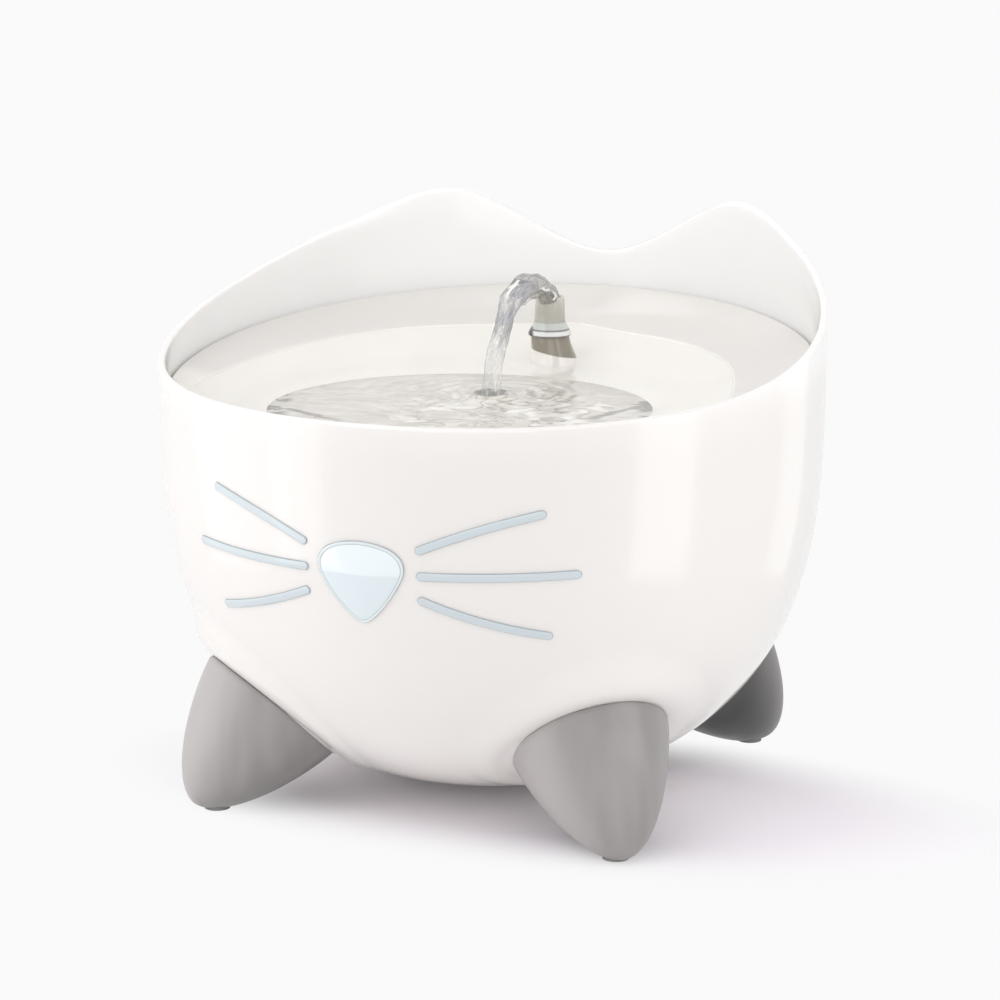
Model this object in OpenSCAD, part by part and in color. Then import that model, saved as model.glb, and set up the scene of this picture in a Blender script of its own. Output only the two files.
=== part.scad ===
// Pet water fountain: a round bowl with a raised, ear-shaped back rim, four pointed feet,
// a lift-out drinking dish with a bubbling spout, and a submersible pump with a filter.
// Millimetres. The origin is on the ground under the middle of the bowl.
// The front, with the nose and whiskers, faces -Y, and angles turn from -Y towards +X.

/* [Bowl] */
// Outside diameter of the bowl
bowl_d = 240; // [236:1:244]
// Height of the front rim above the ground
rim_front_z = 153; // [151:0.5:155]
// Height of the bowl's underside above the ground
bowl_base_z = 3; // [2:0.5:5]
// Thickness of the bowl's wall
bowl_wall = 2.6; // [2.2:0.1:3]

/* [Ears] */
// How far the tip of an ear stands above the front rim
ear_rise = 50; // [40:1:54]
// Direction of each ear's tip, from the front
ear_angle = 150; // [146:1:154]
// How far the saddle between the ears stands above the front rim
saddle_rise = 26.6; // [20:0.2:32]

/* [Feet] */
// Radius of the seam between a foot and the bowl
foot_seam_rad = 28; // [27:0.5:29]
// Length of a foot from its seam to its point
foot_len = 45.5; // [44:0.5:47]
// Lean of a foot outwards from straight down, in degrees
foot_tilt = 42; // [40:1:43]
// Distance of a seam's centre from the bowl's axis
foot_out = 85.5; // [84:0.5:87]

/* [Face] */
// Width of the nose
nose_w = 31.5; // [28:0.5:31.5]
// Height of the nose
nose_h = 29; // [26:1:30]
// Height of the nose's bottom point above the ground
nose_z = 85; // [84:0.5:86]
// Width of a whisker
whisker_w = 3.1; // [2.6:0.1:3.4]

/* [Dish] */
// Height of the water's surface in the dish
water_z = 143; // [142.5:0.1:143.5]
// Radius of the pool
pool_rad = 68; // [66:0.5:69]
// Slope of the dish's rim, up towards the back
rim_slope = 0.122; // [0.11:0.001:0.13]
// Thickness of the dish
dish_wall = 2.4; // [2:0.1:2.6]

/* [Spout] */
// Distance of the spout behind the bowl's axis
spout_y = 58; // [57:0.5:59]
// Outside diameter of the spout's tube
spout_d = 11.6; // [11.4:0.1:11.8]
// Height of the spout's top above the ground
spout_top_z = 170; // [168:0.5:172]

/* [Filter] */
// Width of the filter tray's flange
tray_w = 76; // [72:1:76]
// Length of the filter tray's flange, front to back
tray_l = 59; // [56:1:59]

/* [Pump] */
// Width of the pump's motor block
pump_w = 42; // [41:0.5:42]
// Number of blades on the impeller
blade_count = 6; // [4:1:7]

/* [Hidden] */
$fn = 96;

// Fits
slip = 0.05;
seat_gap = 0.3;
over = 1;

// Bowl: the wall is a smooth curve up to flat_z and upright above it
bowl_rad = bowl_d / 2;
flat_z = rim_front_z - 8;
curve_h = flat_z - bowl_base_z;
curve_power = 3;
curve_root = 0.45;
curve_taper = 0.02;
curve_steps = 26;
bowl_top_z = rim_front_z + ear_rise + 8;

// Ears: direction from the front, rise as a share of the ear's, slope in mm per degree
ear_knots = [[0, 0, 0], [40, 0.02, 0.081], [70, 0.114, 0.298], [100, 0.378, 0.538],
    [130, 0.76, 0.622], [ear_angle, 1, 0], [180, saddle_rise / ear_rise, 0]];
ear_steps = 120;
lip_break = 0.7;

// Ledge inside the bowl that the dish stands on
ledge_z = 138;
ledge_rad = bowl_rad - 10;
ledge_t = 3;
ledge_slant = 7;

// Feet
foot_angles = [-45, 45, -135, 135];
foot_wall = 3;
foot_bulge = 1.25;
foot_point = 0.56;
foot_steps = 24;
pad_rad = 4.6;
pad_h = 1.6;
pad_proud = 0.6;
peg_rad = 5;
peg_len = 9;
socket_wall = 2.4;
shoulder_mid = 6;

// Face
face_y = [-bowl_rad - 6, -78];
nose_mid_z = nose_z + nose_h / 2;
nose_bezel_w = 1.1;
nose_crown = 1.6;
nose_crown_rad = 62;
flange_w = 0.9;
flange_t = 1.2;
inlay_proud = 0.6;
// Each whisker: inner end, outer end and bow, in the X-Z plane
whisker_bars = [[[21, 112], [59, 124.6], 0.9], [[21, 103], [68.4, 103.6], -0.2],
    [[21, 94.4], [59, 82.2], -0.9]];

// Light behind the nose
light_w = 36.6;
light_z = [81, 118];
light_back_y = -101.2;
light_wall = 1.6;
gasket_t = 1;
board_t = 1.6;
led_size = [3.5, 1.6, 2.8];
light_screw_z = [75.5, 123.5];
light_screw_rad = 1.25;
light_screw_len = 6;
light_boss_rad = 3.6;

// Cable gland, high on the rear wall
gland_z = 116;
gland_rad = 5;
gland_flange_rad = 7.4;
gland_flange_t = 2;
gland_face_y = 119.2;
gland_inner_y = 106;
gland_boss_y = 112.4;
gland_boss_rad = 10;
cord_rad = 2.1;
cord_depth = 10;
nut_h = 4;
nut_rad = 8.4;

// Leads inside the bowl
pump_lead_rad = 1.6;
light_lead_rad = 1.25;
pump_lead_route = [[21, 24, 44], [28, 25, 43], [41, 34, 43], [54, 52, 52], [57, 70, 66],
    [47, 86, 84], [29, 96, 101], [12, 98, 112], [4, 99, 115.6], [2.4, 102, 116],
    [2.4, 106, 116]];
light_lead_route = [[-10, -105, 81], [-10, -104.6, 76], [-15, -102, 69], [-32, -97, 66],
    [-60, -82, 66], [-84, -57, 66], [-98, -26, 66], [-101, 10, 66], [-92, 44, 68],
    [-72, 73, 76], [-44, 93, 92], [-18, 99, 108], [-5, 100, 115], [-2.4, 102, 116],
    [-2.4, 106, 116]];
lead_sides = 8;
lead_steps = 4;
clip_angles = [-45, -75, -105];
clip_z = 66;
clip_rad = 96.4;
clip_slot_rad = 98.8;
clip_w = 5;
clip_h = 6.8;
clip_room = 1.4;

// Pump on its cradle
cradle_z = 30;
cradle_t = 2.4;
cradle_y = [5, 71];
cradle_w = 44;
post_rad = 4;
post_x = 16;
post_y = [11, 62];
post_hole_rad = 1.3;
cup_h = 3.6;
cup_rad = 5;
cup_at = [[-12, 24], [12, 24], [-12, 40], [12, 40]];
pump_z = cradle_z + cradle_t + cup_h;
pump_h = 30;
pump_y = [8, 50];
axis_z = pump_z + pump_h / 2;
shell_t = 2.4;
chamber_rad = 13.6;
chamber_y = [50, 64];
well_rad = 6.2;
well_wall = 1.2;
well_end_y = 28.2;
nozzle_rad = 4.45;
nozzle_bore = 3.2;
nozzle_top_z = 84;
block_gap = 1.4;
shaft_rad = 1;
shaft_y = [27, 65.6];
bush_rad = 2.6;
bush_len = 1.3;
magnet_rad = 5.6;
magnet_y = [29.6, 49.2];
sleeve_rad = 2.4;
hub_rad = 3.4;
blade_rad = 11.6;
blade_t = 1.2;
blade_y = [51.6, 61.6];
intake_rad = 7;
plate_t = 2;
cap_wall = 1.2;
cap_y = [62.8, 73];
dial_rad = 9;
dial_t = 1.2;
core_arm = [7.8, 13.4];
core_y = [14, 45];
core_yoke = 5;
core_h = 14;
coil_t = 3.2;

// Riser and spout
riser_rad = 6;
riser_bore = 4.5;
riser_z = [66.9, 134];
spout_rad = spout_d / 2;
spout_flange_z = 157;
spout_flange_rad = 8;
spout_bore = 4.2;
stem_rad = 4.42;
stem_bore = 3.2;
stem_z = [122, 136];
seal_rad = 0.9;
seal_z = 151;
boss_wall = 1.4;
boss_foot_rad = 9.4;
boss_foot_z = 144;
collar_z = 136.5;

// Dish: rings of points, each with its own centre, radius and height at every angle
dish_rad = bowl_rad - bowl_wall - 0.6;
dish_steps = 60;
rim_mid_z = 151.6;
rim_low_z = 146.7;
rim_blend = 1;
edge_x = -5;
edge_rad = [92, 110];
edge_turn = [110, 70];
edge_drop = [0.9, 12];
edge_drop_turn = [50, 130];
notch_len = 9;
notch_turn = 9;
edge_step = 0.6;
pool_y = -31;
pool_floor_z = 129.5;
skirt_rad = [111.4, 113.2];
sill = [56, 7.5, 0.5];
sill_y = -95.4;
slot_size = [4.4, 5];
slot_count = 7;
slot_pitch = 7.4;

// Filter tray under the pool
tray_y = -70;
tray_z = [103, 123];
tray_wall = 1.6;
tray_round = 8;
tray_flange_t = 1.6;
collar_wall = 1.6;
collar_low_z = 119;
foam_z = [104.8, 112];
carbon_z = [112.2, 119];
grid_z = [119.2, 120.8];
grid_slot = [2.4, 20];
grid_pitch = 5.2;

bowl_colour = "#f6f2ee";
foot_colour = "#a3a09f";
inlay_colour = "#cfe2ea";
dish_colour = "#f4f0e6";
pump_colour = "#4a4f55";

// ---- Curves and outlines ----

function curve_u(z) = (flat_z - z) / curve_h;

function bowl_r(z) = z >= flat_z ? bowl_rad
    : bowl_rad * pow(1 - pow(curve_u(z), curve_power), curve_root)
        * (1 - curve_taper * curve_u(z));

function bowl_slope(z) = (bowl_r(z + 0.05) - bowl_r(max(z - 0.05, bowl_base_z))) / 0.1;

// Point of the bowl's section at height z, moved in by depth along the wall's normal
function wall_point(z, depth) = let (m = bowl_slope(z), k = sqrt(1 + m * m))
    [max(bowl_r(z) - depth / k, 0), z + depth * m / k];

function curve_heights() =
    [for (i = [1:curve_steps]) bowl_base_z + curve_h * pow(i / curve_steps, 1.9)];

// Half section of the solid bowl, moved in by depth
function bowl_section(depth, top) = concat([[0, bowl_base_z + depth]],
    [for (z = curve_heights()) wall_point(z, depth)], [[bowl_rad - depth, top], [0, top]]);

function between(list, x, i = 0) = x <= list[i + 1][0] || i == len(list) - 2 ? i
    : between(list, x, i + 1);

function hermite(a, b, x) = let (w = b[0] - a[0], t = (x - a[0]) / w)
    a[1] * (2 * t * t * t - 3 * t * t + 1) + b[1] * (3 * t * t - 2 * t * t * t)
    + w * (a[2] * (t * t * t - 2 * t * t + t) + b[2] * (t * t * t - t * t));

// Rise of the rim above its front, at an angle from the front
function rim_rise(angle) = let (a = abs(angle), i = between(ear_knots, a),
        lo = ear_knots[i], hi = ear_knots[i + 1])
    hermite([lo[0], lo[1] * ear_rise, lo[2]], [hi[0], hi[1] * ear_rise, hi[2]], a);

function smooth(t) = let (c = min(max(t, 0), 1)) c * c * (3 - 2 * c);

function around(centre, rad, angle, z) =
    [centre[0] + rad * sin(angle), centre[1] - rad * cos(angle), z];

// Circular loop of steps, so that a list of rings becomes the faces between them
function strip(a, b, steps) = [for (i = [0:steps - 1]) let (j = (i + 1) % steps)
    each [[a + i, b + i, b + j], [a + i, b + j, a + j]]];

function bezier(a, b, c, d, t) = a * pow(1 - t, 3) + 3 * b * t * pow(1 - t, 2)
    + 3 * c * t * t * (1 - t) + d * pow(t, 3);

// Right half of the nose, from its bottom point to the middle of its top
function nose_half(w, h) = concat(
    [for (i = [0:7]) bezier([0, 0], [0.107 * w, 0], [0.35 * w, 0.31 * h],
        [0.467 * w, 0.57 * h], i / 8)],
    [for (i = [0:7]) bezier([0.467 * w, 0.57 * h], [0.567 * w, 0.793 * h],
        [0.42 * w, 0.985 * h], [0, h], i / 8)]);

function nose_outline(grow) = let (w = nose_w + 2 * grow, h = nose_h + 2 * grow,
        half = nose_half(w, h), n = len(half))
    concat([for (p = half) [p[0], p[1] + nose_z - grow]], [[0, nose_z - grow + h]],
        [for (i = [n - 1:-1:1]) [-half[i][0], half[i][1] + nose_z - grow]]);

// Bowed bar with round ends
function bar_outline(p, q, bow, w) = let (d = q - p, len = norm(d), e = d / len,
        n = [-e[1], e[0]], steps = 8, turn = atan2(e[1], e[0]))
    concat(
        [for (i = [0:steps]) let (t = i / steps)
            p + d * t + n * (4 * bow * t * (1 - t) + w / 2)],
        [for (i = [1:4]) q + w / 2 * [cos(turn + 90 - 36 * i), sin(turn + 90 - 36 * i)]],
        [for (i = [steps:-1:0]) let (t = i / steps)
            p + d * t + n * (4 * bow * t * (1 - t) - w / 2)],
        [for (i = [1:4]) p + w / 2 * [cos(turn - 90 - 36 * i), sin(turn - 90 - 36 * i)]]);

// ---- Helpers ----

module round_rect(w, l, r) {
    for (x = [-1, 1], y = [-1, 1]) translate([x * (w / 2 - r), y * (l / 2 - r)]) circle(r);
    square([w - 2 * r, l], center = true);
    square([w, l - 2 * r], center = true);
}

// Extrudes a drawing of the X-Z plane along +Y from y0 to y1
module along_y(y0, y1) {
    translate([0, y1, 0]) rotate([90, 0, 0]) linear_extrude(y1 - y0) children();
}

module rod_y(rad, y0, y1, at = [0, 0], sides = $fn) {
    translate([at[0], y1, at[1]]) rotate([90, 0, 0]) cylinder(h = y1 - y0, r = rad, $fn = sides);
}

// Ring of the bowl's wall between two depths, over at least a range of heights
module wall_band(depth_out, depth_in, z0, z1) {
    all = curve_heights();
    low = max([for (z = all) if (z <= z0) z]);
    high = min([for (z = all) if (z >= z1) z]);
    heights = [for (z = all) if (z >= low && z <= high) z];
    rotate_extrude() polygon(concat([for (z = heights) wall_point(z, depth_out)],
        [for (i = [len(heights) - 1:-1:0]) wall_point(heights[i], depth_in)]));
}

module at_foot(angle) {
    rotate([0, 0, angle]) translate([0, -foot_out, foot_z]) rotate([180 - foot_tilt, 0, 0])
        children();
}

// ---- Bowl ----

module bowl_solid(depth, top) {
    rotate_extrude() polygon(bowl_section(depth, top));
}

// Everything above the rim's wave: a fan of faces from the axis, with a groove over the wall
// whose slanted sides break both edges of the lip
module ear_cut() {
    mid_z = rim_front_z + ear_rise / 3;
    n = ear_steps;
    angles = [for (i = [0:n - 1]) -180 + 360 * i / n];
    rings = [[bowl_rad - bowl_wall - 1, lip_break + 1], [bowl_rad - bowl_wall + lip_break, 0],
        [bowl_rad - lip_break, 0], [bowl_rad + 1, lip_break + 1]];
    points = concat([[0, 0, mid_z]],
        [for (ring = rings, a = angles) around([0, 0], ring[0], a,
            mid_z + (rim_front_z + rim_rise(a) - mid_z) * ring[0] / bowl_rad - ring[1])],
        [for (a = angles) around([0, 0], bowl_rad + 1, a, bowl_top_z + 20)]);
    polyhedron(points, concat(
        [for (i = [0:n - 1]) [0, 1 + i, 1 + (i + 1) % n]],
        [for (k = [0:3]) each strip(1 + k * n, 1 + (k + 1) * n, n)],
        [[for (i = [n - 1:-1:0]) 1 + 4 * n + i]]));
}

// Round shoulder that carries a foot, moved in by depth
module shoulder(depth) {
    size = 4 * foot_seam_rad;
    intersection() {
        translate([0, 0, -shoulder_mid])
            sphere(norm([foot_seam_rad, shoulder_mid]) - depth);
        translate([-size / 2, -size / 2, -size - depth]) cube(size);
    }
}

module face_cuts() {
    along_y(face_y[0], face_y[1]) {
        polygon(nose_outline(slip));
        for (side = [-1, 1], bar = whisker_bars) scale([side, 1])
            polygon(bar_outline(bar[0], bar[1], bar[2], whisker_w + 2 * slip));
    }
}

module bowl() {
    color(bowl_colour) difference() {
        union() {
            bowl_walls();
            dish_ledge();
            intersection() {
                bowl_solid(bowl_wall / 2, rim_front_z);
                bowl_posts();
            }
        }
        face_cuts();
        for (a = foot_angles) at_foot(a) translate([0, 0, -peg_len - slip])
            cylinder(h = peg_len + foot_len, r = peg_rad + slip);
        for (x = [-post_x, post_x], y = post_y) translate([x, y, cradle_z - 9])
            cylinder(h = 9 + over, r = post_hole_rad);
        for (z = light_screw_z)
            rod_y(light_screw_rad, light_back_y - 2 - light_screw_len - slip, light_back_y,
                [0, z]);
        rod_y(gland_rad + slip, gland_boss_y - over, bowl_rad + over, [0, gland_z]);
        rod_y(gland_flange_rad + slip, gland_face_y - gland_flange_t, bowl_rad + over,
            [0, gland_z]);
    }
}

module bowl_walls() {
    difference() {
        union() {
            bowl_solid(0, bowl_top_z);
            for (a = foot_angles) at_foot(a) shoulder(0);
        }
        bowl_solid(bowl_wall, bowl_top_z + over);
        for (a = foot_angles) at_foot(a) shoulder(bowl_wall);
        ear_cut();
    }
}

// Ledge with a slanted underside, grown out of the wall
module dish_ledge() {
    wall_in = bowl_rad - bowl_wall + 0.8;
    low_z = ledge_z - ledge_t;
    rotate_extrude() polygon([[ledge_rad, ledge_z], [wall_in, ledge_z],
        wall_point(low_z - ledge_slant, bowl_wall - 0.8), [ledge_rad, low_z]]);
}

// Posts under the pump's cradle, bosses for the light's screws and for the gland, and the
// blind sockets that the feet's pegs press into
module bowl_posts() {
    for (x = [-post_x, post_x], y = post_y) translate([x, y, bowl_base_z])
        cylinder(h = cradle_z - bowl_base_z, r = post_rad);
    for (z = light_screw_z) rod_y(light_boss_rad, -bowl_rad, light_back_y - 4, [0, z]);
    rod_y(gland_boss_rad, gland_boss_y, bowl_rad, [0, gland_z]);
    for (a = foot_angles) at_foot(a) translate([0, 0, -peg_len - socket_wall])
        cylinder(h = peg_len + socket_wall + 6, r = peg_rad + socket_wall);
}

// ---- Feet ----

function foot_r(s) = foot_seam_rad * pow(1 - pow(s / foot_len, foot_bulge), foot_point);

// How far the lowest point of the leaning foot lies below its seam's centre
foot_drop = max([for (i = [0:200]) let (s = foot_len * i / 200)
    s * cos(foot_tilt) + foot_r(s) * sin(foot_tilt)]);
foot_low = [for (i = [0:200]) let (s = foot_len * i / 200)
    if (abs(s * cos(foot_tilt) + foot_r(s) * sin(foot_tilt) - foot_drop) < 0.000001)
        foot_out + s * sin(foot_tilt) - foot_r(s) * cos(foot_tilt)][0];
foot_z = foot_drop + 0.2;

module foot_form(depth) {
    len = foot_len - depth;
    rotate_extrude() polygon(concat([[0, 0]],
        [for (i = [0:foot_steps]) let (s = len * sin(90 * i / foot_steps))
            [max(foot_r(s * foot_len / len) - depth, 0), s]]));
}

// Hollow cone, cut to the bowl's surface, with a peg through its middle
module foot(angle) {
    color(foot_colour) difference() {
        union() {
            difference() {
                at_foot(angle) foot_form(0);
                at_foot(angle) translate([0, 0, -over / 2]) foot_form(foot_wall);
                bowl_solid(0, flat_z);
            }
            at_foot(angle) translate([0, 0, -peg_len])
                cylinder(h = peg_len + foot_len - foot_wall, r = peg_rad);
        }
        rotate([0, 0, angle]) {
            translate([0, -foot_low, -20 + pad_proud]) cylinder(h = 20, r = foot_seam_rad);
            translate([0, -foot_low, 0]) cylinder(h = pad_h, r = pad_rad + slip);
        }
    }
}

module foot_pads() {
    color("#6f6c6b") for (a = foot_angles) rotate([0, 0, a]) translate([0, -foot_low, 0])
        cylinder(h = pad_h, r = pad_rad);
}

// ---- Nose, whiskers and the light behind them ----

// Lens with a crowned front, a flange behind the wall and room for the bezel
module nose_lens() {
    m = bowl_slope(nose_mid_z);
    k = sqrt(1 + m * m);
    front = bowl_r(nose_mid_z);
    back = nose_crown_rad - nose_crown;
    color(inlay_colour) {
        intersection() {
            wall_band(-nose_crown - over, bowl_wall + slip, nose_z - 4, nose_z + nose_h + 4);
            along_y(face_y[0], face_y[1]) polygon(nose_outline(-nose_bezel_w));
            translate([0, -front + back / k, nose_mid_z + back * m / k])
                sphere(nose_crown_rad);
        }
        intersection() {
            wall_band(bowl_wall + slip, bowl_wall + flange_t, nose_z - 4, nose_z + nose_h + 4);
            along_y(face_y[0], face_y[1]) polygon(nose_outline(flange_w));
        }
    }
}

module nose_bezel() {
    color("#dfe9ee") intersection() {
        wall_band(-inlay_proud, bowl_wall, nose_z - 4, nose_z + nose_h + 4);
        along_y(face_y[0], face_y[1]) difference() {
            polygon(nose_outline(0));
            polygon(nose_outline(-nose_bezel_w + slip / 2));
        }
    }
}

module whiskers(side) {
    color(inlay_colour) for (bar = whisker_bars) {
        low = min(bar[0][1], bar[1][1]) - 4;
        high = max(bar[0][1], bar[1][1]) + 4;
        intersection() {
            wall_band(-inlay_proud, bowl_wall + slip, low, high);
            along_y(face_y[0], face_y[1]) scale([side, 1])
                polygon(bar_outline(bar[0], bar[1], bar[2], whisker_w));
        }
        intersection() {
            wall_band(bowl_wall + slip, bowl_wall + flange_t, low, high);
            along_y(face_y[0], face_y[1]) scale([side, 1])
                polygon(bar_outline(bar[0], bar[1], bar[2], whisker_w + 2 * flange_w));
        }
    }
}

module light_outline(inset) {
    h = light_z[1] - light_z[0];
    translate([0, (light_z[0] + light_z[1]) / 2])
        round_rect(light_w - 2 * inset, h - 2 * inset, 4 - inset);
}

module light_gasket() {
    color("#3a3d40") intersection() {
        wall_band(bowl_wall + slip, bowl_wall + gasket_t, light_z[0] - 2, light_z[1] + 2);
        along_y(face_y[0], light_back_y) difference() {
            light_outline(0);
            light_outline(light_wall / 2);
        }
    }
}

module light_housing() {
    depth = bowl_wall + gasket_t;
    color("#d9dcdd") difference() {
        union() {
            intersection() {
                wall_band(depth, depth + 30, light_z[0] - 2, light_z[1] + 2);
                along_y(face_y[0], light_back_y) light_outline(0);
            }
            for (z = light_screw_z) along_y(light_back_y - 4 + slip, light_back_y - 2)
                light_lug(z);
        }
        intersection() {
            wall_band(depth - 2, depth + 30, light_z[0] - 2, light_z[1] + 2);
            along_y(face_y[0], light_back_y - light_wall) light_outline(light_wall);
        }
        for (z = light_screw_z) rod_y(light_screw_rad + 0.2, -bowl_rad, 0, [0, z]);
    }
}

// Ear of the housing that a screw goes through, joined to its nearest edge
module light_lug(z) {
    toward = z > nose_mid_z ? light_z[1] - 2 : light_z[0] + 2;
    translate([0, z]) circle(light_boss_rad);
    translate([-light_boss_rad, min(z, toward)])
        square([2 * light_boss_rad, abs(z - toward)]);
}

module light_board() {
    y = light_back_y - light_wall;
    color("#2f6b46") along_y(y - board_t, y) translate([0, nose_mid_z])
        round_rect(26, 24, 2);
}

module light_leds() {
    y = light_back_y - light_wall - board_t - led_size[1];
    color("#f1e9b8") for (x = [-8, 0, 8])
        translate([x - led_size[0] / 2, y, nose_mid_z - led_size[2] / 2 + 2])
            cube(led_size);
}

module light_diffuser() {
    y = light_back_y - light_wall - board_t - led_size[1] - 1;
    color("#eef4f6") {
        along_y(y - 1, y) translate([0, nose_mid_z]) round_rect(27, 26, 6);
        for (x = [-12, 12]) along_y(y, light_back_y - light_wall - board_t)
            translate([x, nose_mid_z - 9]) circle(1);
    }
}

module screw_y(z) {
    head_y = light_back_y - 2;
    rod_y(light_screw_rad, head_y - light_screw_len, head_y, [0, z]);
    difference() {
        rod_y(2.3, head_y, head_y + 1.5, [0, z]);
        for (a = [0, 90]) translate([0, head_y + 1.2, z]) rotate([0, a, 0])
            cube([2.6, 1, 0.6], center = true);
    }
}

module light_screws() {
    color("#b9bcc0") for (z = light_screw_z) screw_y(z);
}

// ---- Cable gland and leads ----

module cable_gland() {
    color("#8b8988") difference() {
        union() {
            rod_y(gland_rad, gland_inner_y, gland_face_y - over, [0, gland_z]);
            rod_y(gland_flange_rad, gland_face_y - gland_flange_t + slip, gland_face_y,
                [0, gland_z]);
        }
        rod_y(cord_rad, gland_face_y - cord_depth, bowl_rad + 2, [0, gland_z]);
    }
}

module gland_nut() {
    color("#77797b") difference() {
        rod_y(nut_rad, gland_boss_y - nut_h, gland_boss_y, [0, gland_z], 6);
        rod_y(gland_rad + slip, gland_boss_y - nut_h - over, gland_boss_y + over, [0, gland_z]);
    }
}

// Smooth curve through the points of a route
function spline(p, i, t) = let (n = len(p), a = p[max(i - 1, 0)], b = p[i],
        c = p[min(i + 1, n - 1)], d = p[min(i + 2, n - 1)])
    0.5 * (2 * b + (c - a) * t + (2 * a - 5 * b + 4 * c - d) * t * t
        + (3 * b - a - 3 * c + d) * t * t * t);

function route_points(p) = concat([for (i = [0:len(p) - 2], k = [0:lead_steps - 1])
    spline(p, i, k / lead_steps)], [p[len(p) - 1]]);

function unit(v) = v / norm(v);

// Side vectors carried along the path, so that the tube doesn't twist
function carried(dirs, i, side) = i == len(dirs) ? []
    : let (s = unit(side - dirs[i] * (side * dirs[i]))) concat([s], carried(dirs, i + 1, s));

module lead(route, rad) {
    path = route_points(route);
    n = len(path);
    dirs = [for (i = [0:n - 1]) unit(path[min(i + 1, n - 1)] - path[max(i - 1, 0)])];
    sides = carried(dirs, 0, [0, 0.1, 1]);
    points = [for (i = [0:n - 1], k = [0:lead_sides - 1]) let (a = 360 * k / lead_sides)
        path[i] + rad * (cos(a) * sides[i] + sin(a) * cross(dirs[i], sides[i]))];
    polyhedron(points, concat([[for (k = [0:lead_sides - 1]) k]],
        [for (i = [0:n - 2]) each strip(i * lead_sides, (i + 1) * lead_sides, lead_sides)],
        [[for (k = [lead_sides - 1:-1:0]) (n - 1) * lead_sides + k]]));
}

module pump_lead() {
    color("#2e3033") lead(pump_lead_route, pump_lead_rad);
}

module light_lead() {
    color("#2e3033") lead(light_lead_route, light_lead_rad);
}

// Hooks on the wall that hold the light's lead, each with a slot open at one side
module lead_clips() {
    outer = bowl_r(clip_z);
    slot_h = 2 * light_lead_rad + clip_room;
    color("#e4e2de") for (a = clip_angles) rotate([0, 0, a]) intersection() {
        bowl_solid(bowl_wall + slip, bowl_top_z);
        translate([-clip_w / 2, -outer, clip_z - clip_h / 2]) difference() {
            cube([clip_w, outer - clip_rad, clip_h]);
            translate([-over, -over, (clip_h - slot_h) / 2])
                cube([clip_w + 2 * over, outer - clip_slot_rad + over, slot_h]);
        }
    }
}

// ---- Pump ----

module pump_cradle() {
    len = cradle_y[1] - cradle_y[0];
    mid = (cradle_y[0] + cradle_y[1]) / 2;
    color("#dcdad6") {
        difference() {
            translate([0, mid, cradle_z]) linear_extrude(cradle_t) difference() {
                round_rect(cradle_w, len, 10);
                for (y = [-8, 8]) translate([0, y]) round_rect(16, 10, 4);
            }
            for (x = [-post_x, post_x], y = post_y)
                translate([x, y, cradle_z - over]) cylinder(h = 6, r = 1.7);
        }
        for (x = [-1, 1]) translate([x * (cradle_w / 2 - 0.4) - 0.4, 18, cradle_z + 1])
            cube([0.8, 26, 8]);
    }
}

module cradle_screws() {
    top = cradle_z + cradle_t;
    color("#b9bcc0") for (x = [-post_x, post_x], y = post_y) translate([x, y, top]) {
        translate([0, 0, -8]) cylinder(h = 8, r = post_hole_rad);
        difference() {
            cylinder(h = 1.5, r = 2.5);
            for (a = [0, 90]) rotate([0, 0, a]) translate([0, 0, 1.3])
                cube([3, 0.6, 1], center = true);
        }
    }
}

module pump_cups() {
    color("#55585c") for (p = cup_at) translate([p[0], p[1], cradle_z + cradle_t])
        rotate_extrude() polygon([[0, 1.4], [3.4, 0.6], [cup_rad, 0], [cup_rad, 0.5],
            [2.4, 1.9], [2.4, cup_h], [0, cup_h]]);
}

module pump_section(w, h, r) {
    translate([0, axis_z]) round_rect(w, h, r);
}

module pump_housing() {
    color(pump_colour) difference() {
        union() {
            along_y(pump_y[0], pump_y[1]) pump_section(pump_w, pump_h, 5);
            along_y(pump_y[1] - over, chamber_y[1])
                pump_section(pump_w - 2 * block_gap - 3, pump_h - 2, 5);
            translate([0, spout_y, axis_z]) cylinder(h = nozzle_top_z - axis_z, r = nozzle_rad);
        }
        difference() {
            along_y(pump_y[0] - over, pump_y[1] - shell_t)
                pump_section(pump_w - 2 * shell_t, pump_h - 2 * shell_t, 3);
            rod_y(well_rad + well_wall, well_end_y - bush_len - well_wall, pump_y[1],
                [0, axis_z]);
        }
        rod_y(well_rad, well_end_y, chamber_y[1] + over, [0, axis_z]);
        rod_y(bush_rad, well_end_y - bush_len, chamber_y[1], [0, axis_z]);
        rod_y(chamber_rad - 0.8, pump_y[1] + 0.2, chamber_y[1] + over, [0, axis_z]);
        translate([0, spout_y, axis_z]) cylinder(h = nozzle_top_z, r = nozzle_bore);
    }
}

module motor_cover() {
    color(pump_colour) along_y(pump_y[0] + 0.2, pump_y[0] + 2)
        pump_section(pump_w - 2 * shell_t - 2 * slip, pump_h - 2 * shell_t - 2 * slip, 3 - slip);
}

// Laminated U that hugs the rotor's well
module stator_core() {
    color("#8d9095") translate([0, 0, axis_z - core_h / 2]) linear_extrude(core_h)
        difference() {
            translate([-core_arm[1], core_y[0]])
                square([2 * core_arm[1], core_y[1] - core_y[0]]);
            translate([-core_arm[0], core_y[0] + core_yoke])
                square([2 * core_arm[0], core_y[1]]);
        }
}

module stator_coil() {
    lead_in = core_y[0] - coil_t;
    color("#b5713a") difference() {
        translate([-core_arm[0] + 0.4, lead_in, axis_z - core_h / 2 - coil_t])
            cube([2 * core_arm[0] - 0.8, core_yoke + 2 * coil_t, core_h + 2 * coil_t]);
        translate([-core_arm[1], core_y[0] - slip, axis_z - core_h / 2 - slip])
            cube([2 * core_arm[1], core_yoke + 2 * slip, core_h + 2 * slip]);
    }
}

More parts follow.
